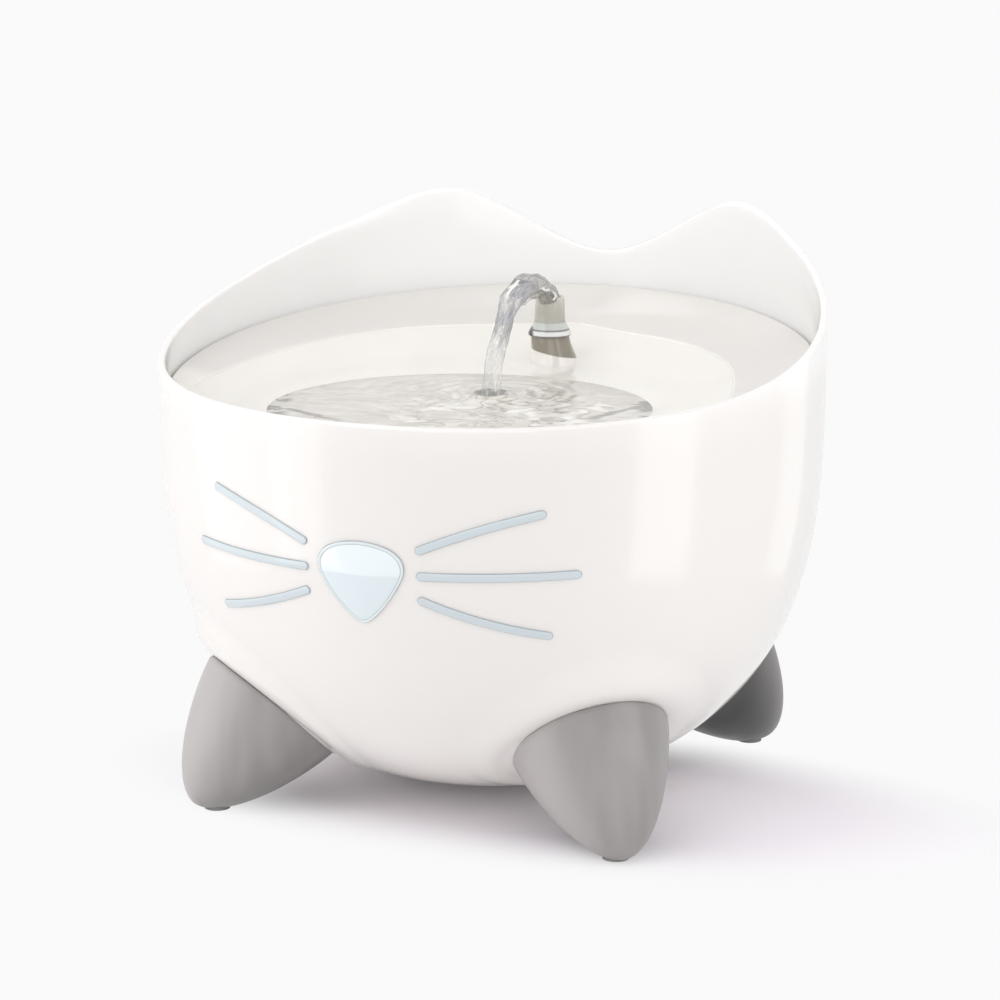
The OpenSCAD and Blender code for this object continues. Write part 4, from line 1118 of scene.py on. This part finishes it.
# Colours of the stream and the pool: a clear tone, with painted reflections, highlights and shade
STREAM_PALE = (0.86, 0.855, 0.84)
STREAM_FOLD_REFLECTIONS = ((0.36, 0.365, 0.41), (0.56, 0.565, 0.6))
STREAM_CREST_REFLECTION = (0.4, 0.39, 0.36)
STREAM_PAINTED_DARK = (0.14, 0.14, 0.13)
POOL_TONES = ((1.0, 0.98, 0.94), (0.87, 0.84, 0.79))
POOL_SHORE_SHADE = (0.5, 0.48, 0.42)
POOL_STREAK_REFLECTION = (0.28, 0.25, 0.19)
POOL_GLINT = (1.0, 0.99, 0.97)
POOL_BANK_SHADE = (0.1, 0.1, 0.095)
POOL_SPLASH_SHADE = (0.2, 0.2, 0.185)


def spout_profile(sizes):
    """Outside and bore of the spout, as (radius, height)."""
    r = sizes.spout_radius / MM
    outside = [(3.2, 122), (4.2, 122), (4.42, 122.3), (4.42, 136), (r, 137), (r, 157),
               (7.5, 157), (7.5, 155.6), (7.7, 155.3), (8.0, 155.3), (8.15, 155.7),
               (8.05, 156.4), (7.6, 157.2), (7, 158.3), (6.4, 159.4), (r + 0.1, 160.4),
               (r, 161), (r - 0.1, 164), (r - 0.2, 168.8), (r - 0.45, 169.6), (r - 0.9, 170),
               (4.6, 170), (4.2, 169.6)]
    return [(a * MM, b * MM) for a, b in [*outside, (4.2, 157), (3.2, 155)]]


def jet_shape(steps=72):
    """Skin of the falling stream, roughened by standing waves, with its flow coordinates."""
    knots = [np.array([y, z, r]) * MM for (y, z), r in zip(JET_PATH, JET_RADIUS)]
    line = through(knots, 12)
    shape, rings = Shape(), []
    for i, (y, z, radius) in enumerate(line):
        before, after = line[max(i - 1, 0)], line[min(i + 1, len(line) - 1)]
        along = np.array([0, after[0] - before[0], after[1] - before[1]])
        along /= np.linalg.norm(along)
        side = np.array([1.0, 0, 0])
        up = np.cross(side, along)
        share = i / (len(line) - 1)
        wildness = 0.06 + 0.20 * ease(share / 0.35)
        ring = []
        for angle in np.radians(all_round(steps)):
            turn = np.array([math.cos(angle), math.sin(angle)])
            swell = noise.fractal(Vector((*(turn * 1.3), share * 9)), 1.0, 2.0, 3)
            ring.append(np.array([0, y, z]) + (turn[0] * side + turn[1] * up) * radius
                        * (1 + wildness * swell))
            shape.flow.append((*turn, share))
        rings.append(ring)
    shape.flow += [(0, 0, 0), (0, 0, 1)]
    return shape.rings(rings, start=np.mean(rings[0], 0), end=np.mean(rings[-1], 0))


def pool_skin(sizes):
    """Rippled top of the pool, with rings that run out from where the stream lands."""
    rays, rows = 288, 150
    angles = all_round(rays)
    turn = np.radians(angles)
    way = np.stack([np.sin(turn), -np.cos(turn)], 1)
    start = np.array(LANDING) - (0, POOL_Y)
    along = way @ start
    reach = -along + np.sqrt(along ** 2 - start @ start + sizes.pool_radius ** 2)
    shape, rings = Shape(), []
    for row in range(1, rows + 1):
        share = (row / rows) ** 1.15
        spots = np.array(LANDING) + way * (reach * share)[:, None]
        ring = []
        for (x, y), far in zip(spots, reach * share):
            ring.append((x, y, sizes.water_height + ripple(x, y, far) * (1 - share ** 6)))
        rings.append(np.array(ring))
    middle = (*LANDING, sizes.water_height + ripple(*LANDING, 0))
    return shape.rings(rings, start=middle)


def ripple(x, y, far):
    """Height of the water above its level, at a distance from the landing stream."""
    wave = 0.75 * math.exp(-far / (17 * MM)) * math.cos(2 * math.pi * far / (6.5 * MM))
    spot = Vector((x / (15 * MM), y / (9 * MM), 0.7))
    chop = noise.fractal(spot, 0.9, 2.1, 2)
    swell = noise.noise(Vector((x / (30 * MM), y / (20 * MM), 4.2)))
    return (wave + 0.35 * chop * (0.4 + math.exp(-far / (30 * MM))) + 0.4 * swell) * MM


def stream_water(name):
    """Clear falling water with painted reflections: grey and bluish folds, dark seams, white
    glints.
    """
    finish = Finish(name)
    flow = finish.node("ShaderNodeAttribute", {"attribute_name": "flow"}, output=1)
    across, back, share = [finish.node("ShaderNodeSeparateXYZ", sockets={0: flow}, output=i)
                           for i in range(3)]
    place = finish.stretched((0.8, 0.8, 5), flow)
    wide = finish.grain(1.0, detail=2, place=place, distortion=0.8)
    fine = finish.grain(2.3, detail=3, roughness=0.55, place=place, distortion=1.6)
    crest = finish.fall(share, 0.4, 0.52)
    foot = finish.step(share, 0.72, 0.86)
    # Painted reflections: grey and bluish folds and dark seams
    fold = finish.step(wide + 0.06 * crest, 0.5, 0.53) * (1 - 0.75 * foot)
    seam = finish.line(fine, 0.5, 0.01, 0.04)
    # Painted dark edges down the stream's sides, and painted white highlights
    side = finish.fall((0.363 * across - 0.926 * back + 0.5 * (wide - 0.5)).size(), 0.12, 0.26)
    glint = finish.step(wide, 0.42, 0.38)
    shade = finish.mix(finish.step(fine, 0.42, 0.6), *STREAM_FOLD_REFLECTIONS)
    shade = finish.mix(crest, shade, STREAM_CREST_REFLECTION)
    tone = finish.mix(fold, STREAM_PALE, shade)
    tone = finish.mix(seam * (0.3 + 0.5 * crest), tone, STREAM_PAINTED_DARK)
    tone = finish.mix(side * 0.85, tone, PAINTED_DARK_LINE)
    marks = (0.5 * fold + 0.5 * side + 0.7 * glint + 0.35 * seam) * (1 - 0.5 * foot)
    return finish.surface({
        "Base Color": finish.mix(glint, tone, (1.0, 1.0, 1.0)),
        "Roughness": 0.04 + 0.03 * fine, "IOR": 1.33, "Coat Weight": 0.6,
        "Alpha": (0.22 + marks).at_most(0.92),
        "Normal": finish.bump(fine, 0.2 * MM)})


def pool_finish(name, sizes):
    """Water in the dish: pale over the basin, with painted reflections and painted shade at its
    shore.
    """
    finish = Finish(name)
    place = finish.place()
    spots = [(*LANDING, sizes.water_height), (0, POOL_Y, sizes.water_height),
             (22 * MM, -34 * MM, sizes.water_height)]
    far, out, side = [finish.distance(spot, place) for spot in spots]
    drawn = finish.node("ShaderNodeMapping", {"vector_type": "TEXTURE"}, {
        "Vector": place, "Rotation": (0, 0, STREAK_TURN), "Scale": (0.042, 0.036, 0.02)})
    wide = finish.grain(1.0, detail=1.3, place=drawn, distortion=0.9)
    fine = finish.grain(2.7, detail=1.6, roughness=0.5, place=drawn, distortion=1.5)
    across = finish.across(POOL_Y)
    # Painted shade: a darker shore, a dark bank and dark ends
    shore = finish.step(out + 4 * MM * (wide - 0.5), 60 * MM, 67 * MM)
    back = (math.cos(STREAK_TURN) * (finish.along(1) - POOL_Y)
            - math.sin(STREAK_TURN) * finish.along(0))
    chord = (0.707 * (across.size() - back) + 9 * MM * (fine - 0.5) - 44.5 * MM).size()
    bank = finish.fall(chord, 0.8 * MM, 2.6 * MM)
    bank = bank * finish.step(across.size(), 36 * MM, 48 * MM)
    ends = finish.step(across.size() + 12 * MM * (wide - 0.5), 59 * MM, 63 * MM)
    # Painted shade where the stream lands
    splash = finish.fall(far + 14 * MM * (fine - 0.5), 5.5 * MM, 7.5 * MM)
    stir = finish.fall(side, 24 * MM, 62 * MM)
    # Painted reflections: folds, streaks and white glints
    fold = finish.step(wide, 0.44, 0.62)
    line = finish.line(wide, 0.47, 0.008, 0.035)
    mark = finish.line(fine, 0.5, 0.012, 0.045) * (0.1 + 0.9 * stir)
    glint = finish.step(fine * 0.6 + wide * 0.4, 0.53, 0.62) * (0.4 + 0.6 * stir)
    dark = bank.at_least(ends * finish.step(fine, 0.49, 0.53))
    tone = finish.mix(fold, *POOL_TONES)
    tone = finish.mix(shore * 0.45, tone, POOL_SHORE_SHADE)
    tone = finish.mix((line * 0.35).at_least(mark * 0.7), tone, POOL_STREAK_REFLECTION)
    tone = finish.mix(glint * 0.8, tone, POOL_GLINT)
    tone = finish.mix(dark * 0.75, tone, POOL_BANK_SHADE)
    marks = (0.6 * line).at_least(mark).at_least(glint * 0.8).at_least(dark).at_least(splash)
    return finish.surface({
        "Base Color": finish.mix(splash * 0.85, tone, POOL_SPLASH_SHADE),
        "Roughness": 0.05 + 0.04 * fine, "IOR": 1.33, "Coat Weight": 0.3,
        "Alpha": (0.74 + 0.23 * marks + 0.1 * shore).at_most(0.95),
        "Normal": finish.bump(wide, 0.3 * MM)})


# ---- Stage ----

CAMERA_TURN = math.radians(21.86)
CAMERA_RISE = math.radians(12.68)
CAMERA_DISTANCE = 1.196
CAMERA_TARGET = Vector((0, 0, 98.9 * MM))
CAMERA_SENSOR = 36
CAMERA_LENS = 118.2
CAMERA_SHIFT = (0.0076, 0.0120)
FLOOR_REACH = 6

# Soft boxes: turn from the camera in degrees, distance from the axis, height of the middle,
# width, height, brightness
SOFT_BOXES = {
    "front": (-6.5, 1.0, 0.45, 0.71, 0.9, 0.82),
    "left_front": (-58, 0.34, 0.2, 0.105, 0.4, 0.95),
    "left": (-80, 0.30, 0.2, 0.215, 0.4, 0.42),
    "right_front": (49, 0.30, 0.2, 0.1, 0.4, 1.2),
    "right_rear": (103, 0.28, 0.2, 0.08, 0.4, 0.45),
    "high_left_front": (-45, 0.8, 1.1, 0.7, 0.7, 1.4),
    "high_left_rear": (-135, 0.8, 1.1, 0.7, 0.7, 1.0),
    "high_right_front": (45, 0.8, 1.1, 0.7, 0.7, 0.45),
    "overhead": (0, 0.0, 1.2, 0.8, 0.8, 0.75),
}
HIGH = 1.0  # height from which a soft box is aimed down at the bowl

# Ellipse on the floor outside which no shadow shows
SHADOW_MIDDLE = (33 * MM, -16 * MM)
SHADOW_REACH = (192 * MM, 88 * MM)


def place_camera():
    """Camera that looks at the fountain from the right and slightly above."""
    camera = bpy.data.objects.new("camera", bpy.data.cameras.new("camera"))
    back = Vector((math.cos(CAMERA_RISE) * math.sin(CAMERA_TURN),
                   -math.cos(CAMERA_RISE) * math.cos(CAMERA_TURN), math.sin(CAMERA_RISE)))
    camera.location = CAMERA_TARGET + back * CAMERA_DISTANCE
    camera.rotation_euler = (-back).to_track_quat("-Z", "Y").to_euler()
    camera.data.sensor_width = CAMERA_SENSOR
    camera.data.lens = CAMERA_LENS
    camera.data.shift_x, camera.data.shift_y = CAMERA_SHIFT
    bpy.context.scene.collection.objects.link(camera)
    bpy.context.scene.camera = camera


def soft_box(name, location, target, width, height, brightness):
    """Area lamp of a given brightness, aimed at a target."""
    lamp = bpy.data.lights.new(name, "AREA")
    lamp.shape = "RECTANGLE"
    lamp.size = width
    lamp.size_y = height
    lamp.energy = brightness * math.pi * width * height
    holder = bpy.data.objects.new(name, lamp)
    holder.location = location
    holder.rotation_euler = (Vector(location) - Vector(target)).to_track_quat("Z", "Y").to_euler()
    holder.visible_camera = False
    bpy.context.scene.collection.objects.link(holder)


def light_the_set():
    """Low soft boxes face the axis, and high ones look down at the fountain."""
    for name, (turn, distance, middle, width, height, brightness) in SOFT_BOXES.items():
        angle = CAMERA_TURN + math.radians(turn)
        location = Vector((distance * math.sin(angle), -distance * math.cos(angle), middle))
        aim = 0.1 if middle > HIGH else middle
        soft_box(name, location, (0, 0, aim), width, height, brightness)


def set_world(colour):
    """Background that the camera, gloss and glass see, and a softer fill for the rest."""
    world = bpy.data.worlds.new("studio")
    bpy.context.scene.world = world
    finish = Finish("studio", world)
    fill = (0.61, 0.6, 0.595)
    background = finish.node("ShaderNodeBackground", None,
                             {"Color": finish.mix(finish.seen(), fill, colour), "Strength": 1.0})
    finish.node("ShaderNodeOutputWorld", None, {"Surface": background})


def floor_paint(colour):
    """Pale floor that keeps the shadow near the fountain and runs into the background."""
    finish = Finish("floor_paint")
    shadow = finish.node("ShaderNodeMapping", {"vector_type": "TEXTURE"}, {
        "Vector": finish.place(), "Location": (*SHADOW_MIDDLE, 0), "Scale": (*SHADOW_REACH, 1)})
    far = finish.node("ShaderNodeVectorMath", {"operation": "LENGTH"}, {0: shadow}, output=1)
    # A faint glow, painted light, lifts the shadow near the fountain
    fade = (0.03 + 0.97 * finish.step(far, 0.5, 1.0)) * finish.seen()
    # The camera sees the floor tinted lavender, a painted tint for the shadow
    white = finish.mix(finish.seen(), (0.93, 0.925, 0.935), (0.93, 0.9, 0.955))
    matt = finish.node("ShaderNodeBsdfDiffuse", None, {"Color": white})
    glow = finish.node("ShaderNodeEmission", None, {"Color": (*colour, 1), "Strength": 1.0})
    return finish.show(finish.node("ShaderNodeMixShader", None, {0: fade, 1: matt, 2: glow}))


# ---- Operators ----

def sizes_of(context):
    return context.scene.fountain_sizes


def colours_of(context):
    return context.scene.fountain_colours


def dress(nodes, finish):
    """Gives CAD nodes a finish in place of their plain one."""
    for name in nodes:
        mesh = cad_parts[name].data
        mesh.materials.clear()
        mesh.materials.append(finish)


class FOUNTAIN_OT_stage(bpy.types.Operator):
    """Camera, soft boxes, background and floor"""

    bl_idname = "fountain.stage"
    bl_label = "Stage"

    def execute(self, context):
        colour = tuple(colours_of(context).backdrop)
        place_camera()
        light_the_set()
        set_world(colour)
        mesh = bpy.data.meshes.new("floor")
        corners = [(x * FLOOR_REACH, y * FLOOR_REACH, 0)
                   for x, y in ((-1, -1), (1, -1), (1, 1), (-1, 1))]
        mesh.from_pydata(corners, [], [(0, 1, 2, 3)])
        mesh.materials.append(floor_paint(colour))
        floor = bpy.data.objects.new("floor", mesh)
        context.scene.collection.objects.link(floor)
        return {"FINISHED"}


class FOUNTAIN_OT_bowl(bpy.types.Operator):
    """White bowl with its ears, ledge, posts and bosses"""

    bl_idname = "fountain.bowl"
    bl_label = "Bowl"

    def execute(self, context):
        sizes = sizes_of(context)
        gloss = bowl_plastic("bowl_gloss", colours_of(context).bowl)
        shell = bowl_skin(sizes).piece("bowl_shell", [gloss], "base", "bowl_plastic", ["bowl"])
        cut_away(shell, gland_cutters())
        fittings = bowl_fittings(sizes, Shape())
        fittings.piece("bowl_fittings", [gloss], "base", "bowl_plastic")
        return {"FINISHED"}


class FOUNTAIN_OT_feet(bpy.types.Operator):
    """Four pointed feet and their pads"""

    bl_idname = "fountain.feet"
    bl_label = "Feet"

    def execute(self, context):
        sizes = sizes_of(context)
        finish = foot_plastic("foot_satin", colours_of(context).foot)
        ground = 0.6 * MM
        groove, groove_depth = 0.5 * MM, 0.8 * MM
        for name, (centre, axis) in foot_frames(sizes).items():
            profile = [(sizes.foot_radius - groove_depth, -1.5 * MM),
                       (sizes.foot_radius - groove_depth, 0.05 * MM),
                       (foot_radius_at(sizes, groove) - 0.3 * MM, groove * 0.6)]
            for turn in np.linspace(math.asin(2 * groove / sizes.foot_length), math.pi / 2, 60):
                along = sizes.foot_length * math.sin(turn)
                profile.append((foot_radius_at(sizes, along), along))
            rings = turned(profile, centre, axis=axis, steps=144)
            for ring in rings:
                ring[:, 2] = np.maximum(ring[:, 2], ground)
            shape = Shape().rings(rings, start=centre - axis * 1.5 * MM)
            shape.piece("foot_shell_" + name, [finish], "base", "foot_rubber",
                        ["foot_" + name])
        dress(["foot_pads"], soft_rubber("pad_rubber", (0.27, 0.26, 0.26)))
        return {"FINISHED"}


class FOUNTAIN_OT_face(bpy.types.Operator):
    """Nose with its bezel, and six whiskers"""

    bl_idname = "fountain.face"
    bl_label = "Nose and whiskers"

    def execute(self, context):
        sizes, colours = sizes_of(context), colours_of(context)
        bezel = 1.1 * MM
        outline = nose_outline(sizes, -bezel)
        middle = sizes.nose_low + 0.56 * sizes.nose_height
        spine = np.tile((0, middle), (len(outline), 1))
        shape = raised_inlay(sizes, Shape(), outline, spine, NOSE_SECTION)
        # The nose's upper part, above this line, is a painted highlight
        line, soft = middle + 1.2 * MM, 0.5 * MM
        nose = inlay_plastic("nose_gloss", colours.nose, colours.nose_light, line - soft,
                             line + soft)
        # Darker sides of the inlays and the lens: dark joints, partly painted shade
        seam = moulded("inlay_side", colours.inlay_side, 0.15, coat=0.7)
        inner = moulded("lens_side", shaded(colours.nose, 0.72), 0.15, coat=0.7)
        shape.piece("nose_crown", [nose, inner], "base", "inlay_plastic", ["nose_lens"])
        shape = raised_inlay(sizes, Shape(), nose_outline(sizes, 0), outline, BEZEL_SECTION)
        bezel_finish = bezel_plastic("bezel_gloss", colours.nose_light, colours.inlay_side)
        shape.piece("nose_edge", [bezel_finish, seam], "base", "bezel_plastic", ["nose_bezel"])
        bar = inlay_plastic("whisker_gloss", colours.whisker, colours.whisker,
                            sizes.nose_low, middle)
        for side, name in ((-1, "left"), (1, "right")):
            shape = Shape()
            for start, end, bow in WHISKERS:
                rim, spine = whisker_lines(start, end, bow, sizes.whisker_width, side)
                raised_inlay(sizes, shape, rim, spine, WHISKER_SECTION)
            shape.piece("whisker_bars_" + name, [bar, seam], "base", "inlay_plastic",
                        ["whiskers_" + name])
        return {"FINISHED"}


class FOUNTAIN_OT_dish(bpy.types.Operator):
    """Drinking dish with its shelf, basin, overflow slots, skirt and collar"""

    bl_idname = "fountain.dish"
    bl_label = "Dish"

    def execute(self, context):
        sizes, colours = sizes_of(context), colours_of(context)
        basin = moulded("dish_basin", colours.basin, 0.2, coat=0.5, variation=0.02, glow=0.1)
        shelf = shelf_plastic("dish_shelf", colours.shelf, colours.basin)
        shape = dish_body(sizes)
        dish = shape.piece("dish_shell", [basin, shelf], "dish", "dish_plastic", ["dish"])
        sill_y, pitch, water = -95.4 * MM, 7.4 * MM, sizes.water_height
        sill = block(0, sill_y, 56 * MM, 7.5 * MM, water - 0.5 * MM, water + 9.5 * MM)
        slots = [block(i * pitch, sill_y, 4.4 * MM, 5 * MM, water - 10 * MM, water + 10 * MM)
                 for i in range(-3, 4)]
        bore = round_cutter((0, sizes.spout_y), 7 * MM, 100 * MM, 200 * MM)
        cut_away(dish, [box_cutter([sill]), box_cutter(slots), bore])
        underside = surface_under(dish)
        # The boss's painted shadow colour, then its painted light colour
        boss = boss_plastic("boss_gloss", (0, sizes.spout_y), colours.basin, (0.3, 0.27, 0.215),
                            (0.96, 0.92, 0.88))
        fittings = dish_fittings(sizes, Shape(), underside)
        fittings.piece("dish_fittings", [basin, boss], "dish", "dish_plastic", crease=50)
        return {"FINISHED"}


class FOUNTAIN_OT_spout(bpy.types.Operator):
    """Milky spout and its seal"""

    bl_idname = "fountain.spout"
    bl_label = "Spout"

    def execute(self, context):
        sizes = sizes_of(context)
        shape = Shape().loop(turned(spout_profile(sizes), (0, sizes.spout_y, 0), steps=128))
        # The tube's lower colour is painted shade above the flange
        finish = spout_plastic("spout_milk", (0, sizes.spout_y), 160 * MM, (0.8, 0.755, 0.69),
                               (0.64, 0.625, 0.56), (0.63, 0.665, 0.635))
        shape.piece("spout_tube", [finish], "spout", "milky_plastic", ["spout"], crease=50)
        dress(["spout_seal"], soft_rubber("seal_rubber", (0.05, 0.05, 0.055)))
        return {"FINISHED"}


class FOUNTAIN_OT_water(bpy.types.Operator):
    """Pool of water and the stream that falls into it"""

    bl_idname = "fountain.water"
    bl_label = "Water"

    def execute(self, context):
        sizes = sizes_of(context)
        finish = pool_finish("pool_water", sizes)
        pool_skin(sizes).piece("pool_water", [finish], "dish", "milky_plastic", crease=180)
        stream = jet_shape().piece("water_stream", [stream_water("stream_water")], "spout",
                                   "milky_plastic", crease=180)
        stream.parent = None
        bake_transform(stream)
        return {"FINISHED"}


class FOUNTAIN_OT_pump(bpy.types.Operator):
    """Finishes of the pump, its motor and its cradle"""

    bl_idname = "fountain.pump"
    bl_label = "Pump"

    def execute(self, context):
        casing = moulded("pump_casing", (0.055, 0.06, 0.066), 0.5, variation=0.2,
                         grain_depth=0.02 * MM)
        dress(["pump_housing", "motor_cover", "chamber_cover", "intake_cover"], casing)
        pale = moulded("inner_plastic", (0.74, 0.73, 0.71), 0.35, coat=0.2)
        dress(["pump_cradle", "flow_dial"], pale)
        dress(["cradle_screws"], turned_steel("cradle_steel", (0.62, 0.62, 0.63)))
        dress(["pump_cups", "shaft_bush_inner", "shaft_bush_outer"],
              soft_rubber("cup_rubber", (0.06, 0.06, 0.065)))
        dress(["stator_core"], laminated_steel("core_sheets", (0.42, 0.43, 0.45)))
        dress(["stator_coil"], wound_wire("coil_wire", (0.72, 0.36, 0.16)))
        dress(["pump_shaft"], moulded("shaft_ceramic", (0.88, 0.88, 0.85), 0.08, coat=1.0))
        dress(["impeller"], moulded("impeller_white", (0.78, 0.77, 0.73), 0.4))
        dress(["rotor_magnet"], moulded("magnet_ferrite", (0.09, 0.09, 0.1), 0.35,
                                        variation=0.3))
        dress(["intake_sponge"], open_foam("intake_foam", (0.2, 0.21, 0.23)))
        dress(["riser_tube"], milky_plastic("riser_milk", (0.78, 0.8, 0.79)))
        return {"FINISHED"}


class FOUNTAIN_OT_filter(bpy.types.Operator):
    """Finishes of the filter tray and its layers"""

    bl_idname = "fountain.filter"
    bl_label = "Filter"

    def execute(self, context):
        dress(["filter_tray", "filter_grid"],
              moulded("tray_plastic", (0.82, 0.81, 0.78), 0.3, coat=0.3))
        dress(["filter_foam"], open_foam("filter_foam", (0.36, 0.45, 0.52)))
        dress(["filter_carbon"], open_foam("filter_carbon", (0.06, 0.065, 0.07), 0.7 * MM))
        return {"FINISHED"}


class FOUNTAIN_OT_light(bpy.types.Operator):
    """Finishes of the light behind the nose, the leads and the cord's gland"""

    bl_idname = "fountain.light"
    bl_label = "Light and leads"

    def execute(self, context):
        dress(["light_housing", "gland_nut", "lead_clips"],
              moulded("housing_plastic", (0.7, 0.71, 0.71), 0.38))
        dress(["light_gasket"], soft_rubber("gasket_rubber", (0.04, 0.04, 0.045)))
        dress(["light_board"], circuit_board("light_board", (0.03, 0.2, 0.09)))
        dress(["light_leds"], milky_plastic("led_resin", (0.9, 0.84, 0.5), 0.85))
        dress(["light_diffuser"], milky_plastic("diffuser_milk", (0.88, 0.9, 0.9)))
        dress(["light_screws"], turned_steel("screw_steel", (0.62, 0.62, 0.63)))
        dress(["cable_gland"], soft_rubber("gland_rubber", (0.27, 0.26, 0.26)))
        dress(["pump_lead", "light_lead"], soft_rubber("lead_jacket", (0.03, 0.03, 0.035)))
        return {"FINISHED"}


class FOUNTAIN_PT_panel(bpy.types.Panel):
    """Sizes, colours and pieces of the fountain"""

    bl_idname = "FOUNTAIN_PT_panel"
    bl_label = "Pet water fountain"
    bl_space_type = "VIEW_3D"
    bl_region_type = "UI"
    bl_category = "Fountain"

    def draw(self, context):
        for group in (sizes_of(context), colours_of(context)):
            column = self.layout.column(align=True)
            for name in group.__annotations__:
                column.prop(group, name)
        for operator in OPERATORS:
            self.layout.operator(operator.bl_idname)


OPERATORS = (FOUNTAIN_OT_stage, FOUNTAIN_OT_bowl, FOUNTAIN_OT_feet, FOUNTAIN_OT_face,
             FOUNTAIN_OT_dish, FOUNTAIN_OT_spout, FOUNTAIN_OT_water, FOUNTAIN_OT_pump,
             FOUNTAIN_OT_filter, FOUNTAIN_OT_light)
CLASSES = (FountainSizes, FountainColours, *OPERATORS, FOUNTAIN_PT_panel)


def register():
    for made in CLASSES:
        bpy.utils.register_class(made)
    bpy.types.Scene.fountain_sizes = PointerProperty(type=FountainSizes)
    bpy.types.Scene.fountain_colours = PointerProperty(type=FountainColours)


def unregister():
    del bpy.types.Scene.fountain_colours
    del bpy.types.Scene.fountain_sizes
    for made in reversed(CLASSES):
        bpy.utils.unregister_class(made)


def main():
    register()
    for operator in OPERATORS:
        group, name = operator.bl_idname.split(".")
        getattr(getattr(bpy.ops, group), name)()
    bpy.context.scene.view_settings.view_transform = "Standard"


if __name__ == "__main__":
    main()
